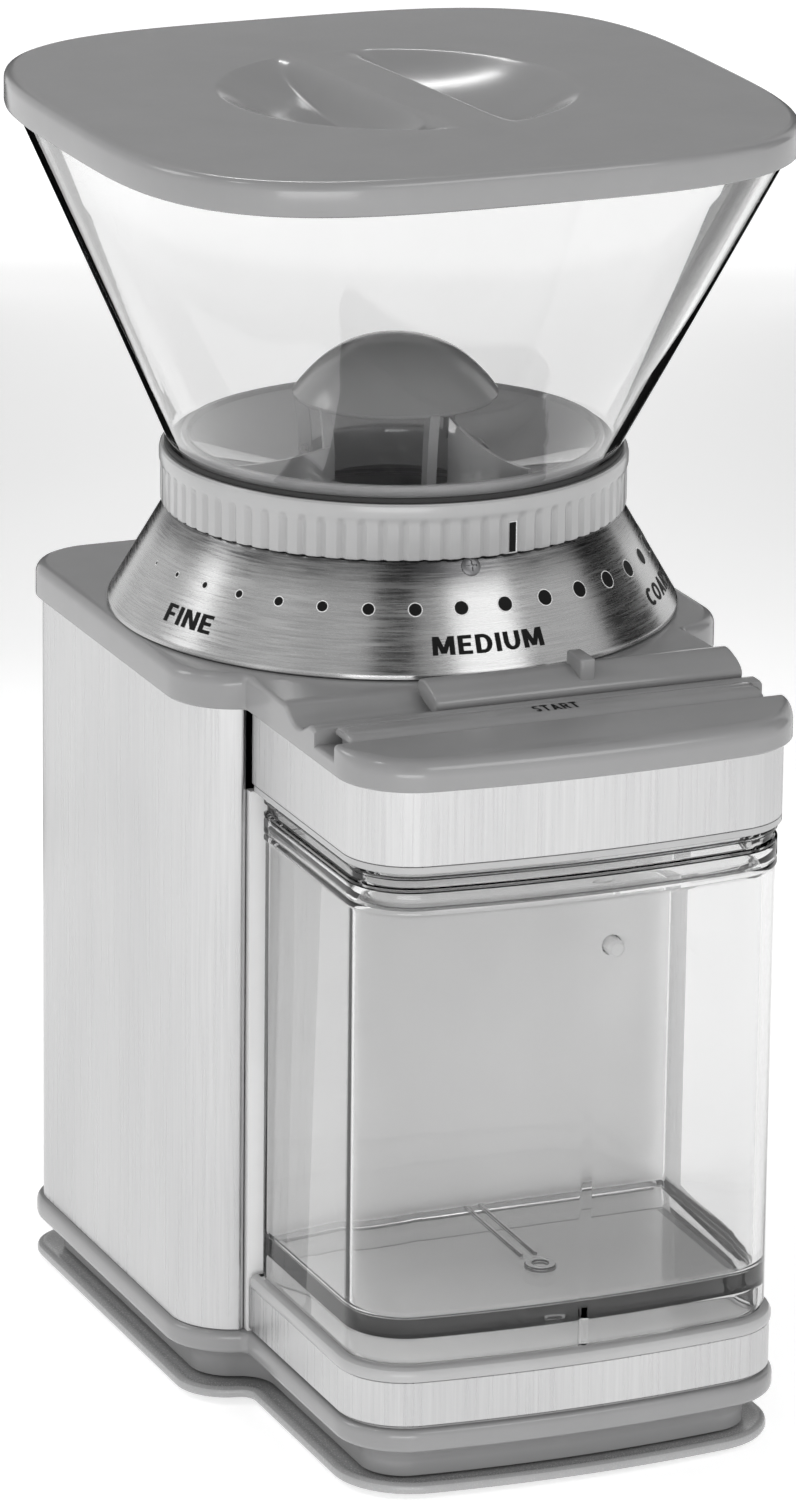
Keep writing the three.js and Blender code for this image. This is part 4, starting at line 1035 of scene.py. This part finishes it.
make("dial_words", together(dial_word("FINE", -160.2, 168, 14.2, 4), dial_word("MEDIUM", -92, 168, 24.5, 4),
                            dial_word("COARSE", -31, 168, 24.5, 4)), INK)


# ------------------------------------------------------------------ cone screws
# Three small cross-head screws at the cone's top edge hold it to the head housing. At this height
# their heads reach 0.25 mm into the collar above, and a height of 181.8 would clear it.
CONE_SCREWS = {"cone_screw_1": -93.4, "cone_screw_2": 26.6, "cone_screw_3": 146.6}
SCREW_HEIGHT = 182.3
# Painted shade: the heads take a darker, rougher copy of the turned steel, for the shade under the collar.
SHADED_SCREW_STEEL = turned_steel("screw_steel_painted_shade", (0.2, 0.2, 0.205), 0.42)
DOME_HEAD = [(1.1, -3), (1.1, 0), (2, 0), (2.05, 0.15), (1.8, 0.35), (1.3, 0.5), (0.7, 0.55)]


def stand_on_cone(points, azimuth):
    """Moves a shape from its own x, y and z to the cone's tangent, slant and normal."""
    a = math.radians(azimuth)
    normal = np.array([math.cos(a) * CONE_UP, math.sin(a) * CONE_UP, CONE_IN])
    tangent = np.array([-math.sin(a), math.cos(a), 0])
    slant = np.cross(normal, tangent)
    return on_cone(azimuth, SCREW_HEIGHT, np.zeros(1)) + points @ np.stack([tangent, slant, normal])


for name, azimuth in CONE_SCREWS.items():
    screw_points, screw_faces = stitch(lathe(DOME_HEAD, segments=32))
    head_screw = make(name + "_dome_head", (stand_on_cone(screw_points, azimuth), screw_faces), SHADED_SCREW_STEEL,
                      stands_for=[name])
    slots = [block(-1.2, 1.2, -0.22, 0.22, 0.2, 2), block(-0.22, 0.22, -1.2, 1.2, 0.2, 2)]
    carve(head_screw, *[(stand_on_cone(points, azimuth), faces) for points, faces in slots])


# ------------------------------------------------------------------ grounds container
# Clear moulded tub with a bead round its rim, a thick floor on a foot ring, a notch at the
# front of the foot, and two low ribs that lead to a boss on the floor.
def clear_moulding(name, tint, density, roughness=0.012, clearness=1.0, gloss=0.35):
    """Clear plastic that darkens with the depth seen through it, so its edges and slabs seen
    edge-on go dark. Lamps shine through it, and fine flow lines ripple its gloss."""
    material, tree, shader = surface(name, tint, roughness, Transmission_Weight=clearness,
                                     IOR=1.49, Specular_IOR_Level=gloss)
    flow = grain(tree, 45, (1, 1, 0.25), detail=2)
    relief(tree, flow, shader, 0.00006, 0.25)
    tone(tree, flow, tuple(c * 0.985 for c in tint), tint, shader.inputs["Base Color"])
    path = add(tree, "LightPath")
    passing = add(tree, "BsdfTransparent", {"Color": (*(c * 0.97 for c in tint), 1)})
    pick = add(tree, "MixShader")
    output = tree.nodes["Material Output"]
    tree.links.new(path.outputs["Is Shadow Ray"], pick.inputs[0])
    tree.links.new(shader.outputs[0], pick.inputs[1])
    tree.links.new(passing.outputs[0], pick.inputs[2])
    tree.links.new(pick.outputs[0], output.inputs["Surface"])
    depth = add(tree, "VolumeAbsorption", {"Color": (0, 0, 0, 1), "Density": density})
    tree.links.new(depth.outputs[0], output.inputs["Volume"])
    return material


CUP_CLEAR = clear_moulding("clear_cup_moulding", (0.99, 0.99, 0.99), density=36)
CUP_NOSE = (47.6, -103.3, 4.1, 13.9)
CUP_BACK = -44.2
CUP_LEVELS = [(6, 35), (3.6, 35), (2.9, 34.8), (2.6, 34.2), (2.6, 29.9), (2.3, 29.4), (1.4, 29.3),
              (0.8, 29.5), (0.5, 30), (0.4, 31), (0.4, 126.2), (0.25, 126.7), (0, 127), (0, 127.6),
              (0.25, 128), (0.1, 128.3), (0, 128.8), (0, 131.2), (0.2, 131.7), (0.7, 131.8),
              (2, 131.8), (2.4, 131.6),
              (2.6, 131), (2.6, 40.6), (2.8, 39.6), (3.4, 38.9), (4.4, 38.7), (8, 38.7)]
cup_outline = closed_nose(CUP_NOSE, CUP_BACK, 2.4)
cup = make("grounds_cup", stitch(carry(cup_outline, CUP_LEVELS)), CUP_CLEAR, body="container",
           stands_for=["grounds_container"])


def cup_ring(radius, inner, z0, z1, y, edge=0.3):
    """A low ring on the floor whose top edges are cut off at 45 degrees."""
    profile = [(inner, z0), (radius, z0), (radius, z1 - edge), (radius - edge, z1),
               (inner + edge, z1), (inner, z1 - edge)]
    return stitch(lathe(profile, (0, y), 40), loop=True)


def notch(y, z0, z1):
    """A V cut upright into the front of the foot ring, as a prism with its point inwards."""
    plan = np.array([(-2.6, y - 2), (2.6, y - 2), (0.15, y + 1.4), (-0.15, y + 1.4)], float)
    return stitch(np.stack([np.column_stack([plan, np.full(4, z)]) for z in (z0, z1)]))


ribs = [soft_block(x - 0.45, x + 0.45, -78, -48, 38.5, 39.4, 0.25) for x in (-1.6, 1.6)]
carve(cup, *ribs, cup_ring(3.4, 1.6, 38.5, 39.6, -84), operation="UNION")
carve(cup, notch(-107, 29, 38))


# ------------------------------------------------------------------ container lid
# Clear lid whose plug sits inside the rim, grooved round its edge, with a round hole under the
# chute.
LID_CLEAR = clear_moulding("clear_lid_moulding", (0.97, 0.97, 0.97), density=45)
LID_LEVELS = [(7, 133.9), (5.4, 133.9), (5.2, 133.7), (5.2, 128.2), (4.9, 127.8), (3.3, 127.8), (3, 128.1),
              (3, 131.9), (0.3, 131.9), (0, 132.1), (0, 132.6), (0.5, 132.8), (0.7, 133.1), (0.7, 134.3),
              (0.5, 134.6), (0, 134.8), (0, 135.4), (0.4, 135.7), (6, 135.7)]
HOLE_Y = (DROP[2] + DROP[3]) / 2
cup_lid = make("container_lid_clear", stitch(carry(cup_outline, LID_LEVELS)), LID_CLEAR, body="container",
               stands_for=["container_lid"])
carve(cup_lid, rod(13, 126, 137, (0, HOLE_Y)))


# ------------------------------------------------------------------ hopper collar
# Grey ring that the hopper turns by: upright flutes below a smooth crown, a ledge inside for the
# hopper, and three lugs that turn the adjusting ring.
FLUTES, FLUTE_DEPTH = 72, 0.7
# radius, height and share of the flute's depth
COLLAR_ROWS = [(47.6, 183.9, 0), (49.0, 183.9, 1), (49.45, 184.1, 1), (49.65, 184.6, 1), (49.65, 191.2, 1),
               (49.68, 192, 0.8), (49.75, 192.5, 0.35), (49.85, 192.9, 0), (49.95, 193.4, 0),
               (49.95, 195.0, 0), (49.8, 195.7, 0), (49.4, 196.1, 0), (48.6, 196.1, 0), (48.1, 195.9, 0),
               (47.9, 195.4, 0), (47.9, 188.4, 0), (47.6, 188.1, 0), (36.5, 188.1, 0), (36.5, 185.4, 0),
               (46.8, 185.4, 0), (46.8, 184.1, 0)]


def fluted(rows, count, depth, samples=12):
    """Turned rows whose radius dips by depth * share * max(0, cos(count a))^1.5."""
    radius, z, share = np.array(rows, float).T
    a = np.linspace(0, 2 * np.pi, count * samples, endpoint=False)
    dip = np.clip(np.cos(count * a), 0, 1) ** 1.5
    r = radius[:, None] - depth * share[:, None] * dip
    return np.stack([r * np.cos(a), r * np.sin(a), np.broadcast_to(z[:, None], r.shape)], -1)


def turned_about(shape, degrees):
    """A shape turned round the burr axis."""
    points, faces = shape
    c, s = math.cos(math.radians(degrees)), math.sin(math.radians(degrees))
    return points @ np.array([[c, s, 0], [-s, c, 0], [0, 0, 1]]), faces


lugs = [turned_about(block(37, 40.6, -3.2, 3.2, 177.9, 188), turn) for turn in (0, 120, 240)]
collar = together(stitch(fluted(COLLAR_ROWS, FLUTES, FLUTE_DEPTH), loop=True), *lugs)
make("collar_fluted", collar, PALE, body="hopper_set", stands_for=["hopper_collar"])


# ------------------------------------------------------------------ index mark
# Black bar in a pale border, printed upright on the collar to point at the dial.
INDEX_AZIMUTH = -82.6


def upright_patch(azimuth, width, z0, z1, radius):
    """A patch bent round the collar: width across and z0 to z1 up."""
    angle = math.radians(azimuth) + np.linspace(-0.5, 0.5, 7) * width / radius
    low = np.column_stack([radius * np.cos(angle), radius * np.sin(angle), np.full(7, z0)])
    points = np.vstack([low, low + (0, 0, z1 - z0)])
    return points, [[i, i + 1, i + 8, i + 7] for i in range(6)]


make("index_bar", upright_patch(INDEX_AZIMUTH, 1.6, 184.5, 190.9, 49.78), INK, body="hopper_set")
make("index_border", upright_patch(INDEX_AZIMUTH + 0.15, 1.9, 184.4, 191.1, 49.74), ETCH, body="hopper_set")


# ------------------------------------------------------------------ hopper
# Clear bean hopper: a round neck that spreads into a soft square, with a rim under the lid and a
# thick foot in the collar.
HOPPER_NECK, HOPPER_MOUTH, HOPPER_SQUARE = 47.6, (72.8, 74.2), 3.55
HOPPER_FOOT, HOPPER_BEND, HOPPER_LEDGE, HOPPER_TOP = 188.4, 196.1, 265.1, 268
HOPPER_RIM = (72, 73.4)
HOPPER_WALL = 2.1


def superellipse(a, b, power, count):
    """x = a |cos|^(2/power), y = b |sin|^(2/power), with their signs kept."""
    t = np.linspace(0, 2 * np.pi, count, endpoint=False)
    c, s = np.cos(t), np.sin(t)
    x = a * np.sign(c) * np.abs(c) ** (2 / power)
    y = b * np.sign(s) * np.abs(s) ** (2 / power)
    return np.stack([x, y], -1)


def hopper_row(z, inset, count=220):
    """The wall at a height: straight from neck to mouth, while the power goes from 2 to square,
    and stepped in above the ledge to fit under the lid."""
    t = min(max((z - HOPPER_BEND) / (HOPPER_LEDGE - HOPPER_BEND), 0), 1)
    halves = [HOPPER_NECK + (mouth - HOPPER_NECK) * t for mouth in HOPPER_MOUTH]
    if z > HOPPER_LEDGE:
        halves = HOPPER_RIM
    ring = superellipse(halves[0] - inset, halves[1] - inset, 2 + (HOPPER_SQUARE - 2) * t, count)
    return np.column_stack([ring, np.full(count, z)])


def hopper_shape():
    """Rows up the outside, over the rim and down the inside, which is a wall further in."""
    heights = np.concatenate([[HOPPER_FOOT + 0.4, 192, 195.6, 196.6], np.linspace(199, HOPPER_LEDGE, 26)])
    outside = [hopper_row(HOPPER_FOOT, 0.4)] + [hopper_row(z, 0) for z in heights]
    rim = [hopper_row(HOPPER_LEDGE + 0.1, 0), hopper_row(HOPPER_TOP - 0.5, 0), hopper_row(HOPPER_TOP, 0.5),
           hopper_row(HOPPER_TOP, 1.4), hopper_row(HOPPER_TOP - 0.5, 1.9)]
    inside = [hopper_row(z, HOPPER_WALL) for z in heights[::-1]] + [hopper_row(HOPPER_FOOT, 1.7)]
    return np.stack(outside + rim + inside)


CLEAR = clear_moulding("clear_hopper_moulding", (0.99, 0.99, 0.99), density=17, gloss=0.22)
make("hopper_clear", stitch(hopper_shape(), loop=True), CLEAR, body="hopper_set", stands_for=["hopper"])


# ------------------------------------------------------------------ hopper shade ring
# Thin black ring on the collar's crown, under the bend where the hopper starts to spread. It is
# painted shade for the dark line along the bend.
SHADE_RING = [(47.75, 195.5), (47.85, 195.5), (48.3, 196.02), (48.8, 196.25), (48.8, 197.1), (48.6, 197.3),
        (48.2, 197.3), (47.75, 196.2)]
make("hopper_shade_ring", stitch(lathe(SHADE_RING, segments=160), loop=True), RUBBER, body="hopper_set")


# ------------------------------------------------------------------ hopper floor
# Smoky clear insert: a low trough at the front, raised ledges at the sides and back that slope
# down to a round eye, four thin fins under the bean guard, and a blade along each trough side.
SMOKE = clear_moulding("smoky_moulding", (0.56, 0.56, 0.565), density=40, roughness=0.02,
                       clearness=0.5, gloss=0.7)
FLOOR_RIM, EYE_OUT, EYE_IN = 45.3, 20.0, 18.2
TROUGH = (-160, -74)


def ledge_share(azimuth):
    """0 in the trough and 1 on the ledges, with a steep smooth wall at each side."""
    from_middle = np.abs((azimuth - sum(TROUGH) / 2 + 180) % 360 - 180)
    t = np.clip((from_middle - (TROUGH[1] - TROUGH[0]) / 2) / 3 + 0.5, 0, 1)
    return t * t * (3 - 2 * t)


def floor_shape(count=240):
    """Polar rows: up the outer wall, in over the floor, up over the eye's rim, down through the
    eye and back under. The floor is the trough's height plus the ledge's share of its rise."""
    a = np.linspace(0, 2 * np.pi, count, endpoint=False)
    share = ledge_share(np.degrees(a))
    rows = []

    def row(radius, z):
        """Adds one ring at that radius, whose height may change round it."""
        rows.append(np.stack([radius * np.cos(a), radius * np.sin(a), z + 0 * a], -1))

    def floor(radius):
        """The top face's height round the insert at that radius."""
        slope = (radius - EYE_OUT) / (FLOOR_RIM - EYE_OUT)
        return 190.6 + 0.8 * slope + share * (3.6 + 4.4 * slope**1.5)

    row(FLOOR_RIM, 189)
    row(FLOOR_RIM, 199.2)
    row(FLOOR_RIM - 0.3, 199.5)
    row(FLOOR_RIM - 1.2, 199.5)
    row(FLOOR_RIM - 1.5, 199.2)
    row(FLOOR_RIM - 1.6, np.maximum(floor(FLOOR_RIM - 1.6), 192) + 0.6)
    for radius in np.linspace(FLOOR_RIM - 2.2, EYE_OUT + 0.9, 14):
        row(radius, floor(radius))
    row(EYE_OUT + 0.2, floor(EYE_OUT) + 0.3)
    row(EYE_OUT - 0.2, floor(EYE_OUT) + 1.3)
    row(EYE_OUT - 0.9, floor(EYE_OUT) + 1.6)
    row(EYE_IN + 0.2, floor(EYE_OUT) + 1.3)
    row(EYE_IN, floor(EYE_OUT) + 0.8)
    row(EYE_IN, 187)
    row(EYE_OUT - 0.2, 187)
    for radius in np.linspace(EYE_OUT, FLOOR_RIM - 1.6, 12):
        row(radius, floor(radius) - 1.6)
    row(FLOOR_RIM - 1.6, 189)
    return np.stack(rows)


def fin(azimuth, z0, z1, half=0.5):
    """A thin blade that leans in a curve from the eye's rim up to the guard."""
    height = np.linspace(0, 1, 9)
    middle = EYE_OUT - 0.9 + 1.6 * height**2
    reach = 1.4
    rows = [np.array([(m - reach, -half, z), (m + reach, -half, z),
                      (m + reach, half, z), (m - reach, half, z)])
            for m, z in zip(middle, z0 + (z1 - z0) * height)]
    return turned_about(stitch(np.stack(rows)), azimuth)


def side_wall(azimuth, near, far, sweep_by):
    """A blade that runs out along the trough's side: its top falls as (1 - t)^1.6 from near to
    far, and its plan swings by the sweep as t^2."""
    t = np.linspace(0, 1, 18)
    radius = EYE_OUT - 0.5 + (FLOOR_RIM - 2.6 - EYE_OUT) * t
    angle = np.radians(azimuth + sweep_by * t**2)
    top = far + (near - far) * (1 - t) ** 1.6
    along = np.stack([radius * np.cos(angle), radius * np.sin(angle)], -1)
    across = 0.55 * np.stack([-np.sin(angle), np.cos(angle)], -1)
    rows = [np.column_stack([np.stack([a - c, a + c, a + 0.7 * c, a - 0.7 * c]), [190.5, 190.5, z, z]])
            for a, c, z in zip(along, across, top)]
    return stitch(np.stack(rows)[::-1])


insert = together(stitch(floor_shape(), loop=True), fin(-90, 190.4, 208, 1.1), fin(30, 194, 208),
                  fin(150, 194, 208), fin(-158, 192, 208, 0.35), side_wall(-76, 206.5, 199.8, 5),
                  side_wall(-157, 199.5, 198.6, -6))
make("hopper_floor_insert", insert, SMOKE, body="hopper_set", stands_for=["hopper_floor"])


# ------------------------------------------------------------------ bean guard
# Grey dome over the eye that spreads the beans: a thin shell with a rolled rim.
GUARD_RADIUS, GUARD_RIM, GUARD_TOP = 21.9, 207.4, 220


def guard_shape():
    """Outside, z falls from the top by (r / radius)^2.6 of the rise; inside is a wall lower."""
    r = GUARD_RADIUS * np.sin(np.linspace(0.03, np.pi / 2, 26))
    rise = GUARD_TOP - GUARD_RIM - 0.9
    outside = [(x, GUARD_TOP - rise * (x / GUARD_RADIUS) ** 2.6) for x in r[::-1]]
    inside = [(x, z - 1.5) for x, z in outside[::-1] if x < GUARD_RADIUS - 1.7]
    rim = [(GUARD_RADIUS - 1.6, GUARD_RIM + 0.4), (GUARD_RADIUS - 1.2, GUARD_RIM),
           (GUARD_RADIUS - 0.4, GUARD_RIM), (GUARD_RADIUS - 0.05, GUARD_RIM + 0.4)]
    return stitch(lathe(inside + rim + outside, segments=96))


make("bean_guard_dome", guard_shape(), GREY, body="hopper_set", stands_for=["bean_guard"])


# ------------------------------------------------------------------ lid
# Grey hopper lid: a soft square with a rounded edge and a skirt, sunk in the middle into a round
# bowl with a straight grip left standing across it.
LID_HALF, LID_SQUARE, LID_BOTTOM, LID_TOP = (75, 76.4), 3.5, 265.2, 273
LID_WALL = 2.0
BOWL_RADIUS, BOWL_DEPTH, GRIP_HALF, GRIP_SPREAD, GRIP_SKEW = 38.5, 8.6, 6.2, 6.0, 5.0


def bowl_drop(x, y):
    """Depth below the lid: a bowl 1 - (r/R)^2.4 deep with a soft brim, held up along the grip,
    whose sides fall over the spread in an S."""
    r = np.hypot(x, y) / BOWL_RADIUS
    bowl = BOWL_DEPTH * np.clip(1 - r**2.4, 0, 1)
    bowl = bowl**2 / (bowl + 0.35)
    c, s = math.cos(math.radians(GRIP_SKEW)), math.sin(math.radians(GRIP_SKEW))
    across = np.abs(x * c + y * s)
    t = np.clip((across - GRIP_HALF) / GRIP_SPREAD, 0, 1)
    return bowl * t * t * (3 - 2 * t)


def lid_shape(count=288):
    """Rows from the skirt's inside, round its lower edge, up the side, over the rounded top edge
    and in to the middle on rays, and the underside the same a wall lower."""
    def outline(inset):
        """The lid's outline, moved in by the inset."""
        return superellipse(LID_HALF[0] - inset, LID_HALF[1] - inset, LID_SQUARE, count)

    def level(inset, z):
        """That outline at one height."""
        return np.column_stack([outline(inset), np.full(count, z)])

    edge = [level(2.6, 265.4), level(2.2, LID_BOTTOM), level(0.6, LID_BOTTOM), level(0.15, 265.5),
            level(0, 266.1), level(0, 270.6)]
    radius = 1.9
    for angle in np.radians([15, 30, 45, 60, 75, 90]):
        edge.append(level(radius * (1 - math.cos(angle)), LID_TOP - 0.5 - radius * (1 - math.sin(angle))))
    brim = outline(2.6)
    way = brim / np.linalg.norm(brim, axis=1, keepdims=True)
    reach = np.linalg.norm(brim, axis=1)

    def crown(xy, wall=0.0):
        """The top face over a row of points, or the face a wall below it."""
        far = np.linalg.norm(xy, axis=1) / reach
        z = LID_TOP - 0.5 * np.clip((far - 0.5) / 0.5, 0, 1) ** 2 - wall
        return np.column_stack([xy, z - bowl_drop(*xy.T)])

    shares = np.linspace(1, 0, 9)[:-1]
    inner = np.concatenate([np.linspace(BOWL_RADIUS + 0.5, BOWL_RADIUS - 6, 20),
                            np.linspace(BOWL_RADIUS - 7, 0.4, 60)])
    radii = [BOWL_RADIUS + 1 + (reach - BOWL_RADIUS - 1) * share for share in shares]
    radii += [np.full(count, r) for r in inner]
    top = [crown(way * r[:, None]) for r in radii]
    under = [crown(way * r[:, None], LID_WALL) for r in radii[:0:-1]]
    return stitch(np.stack(under + [level(2.8, 268.4)] + edge + top))


make("lid_moulded", lid_shape(), GREY, body="lid", stands_for=["lid"])
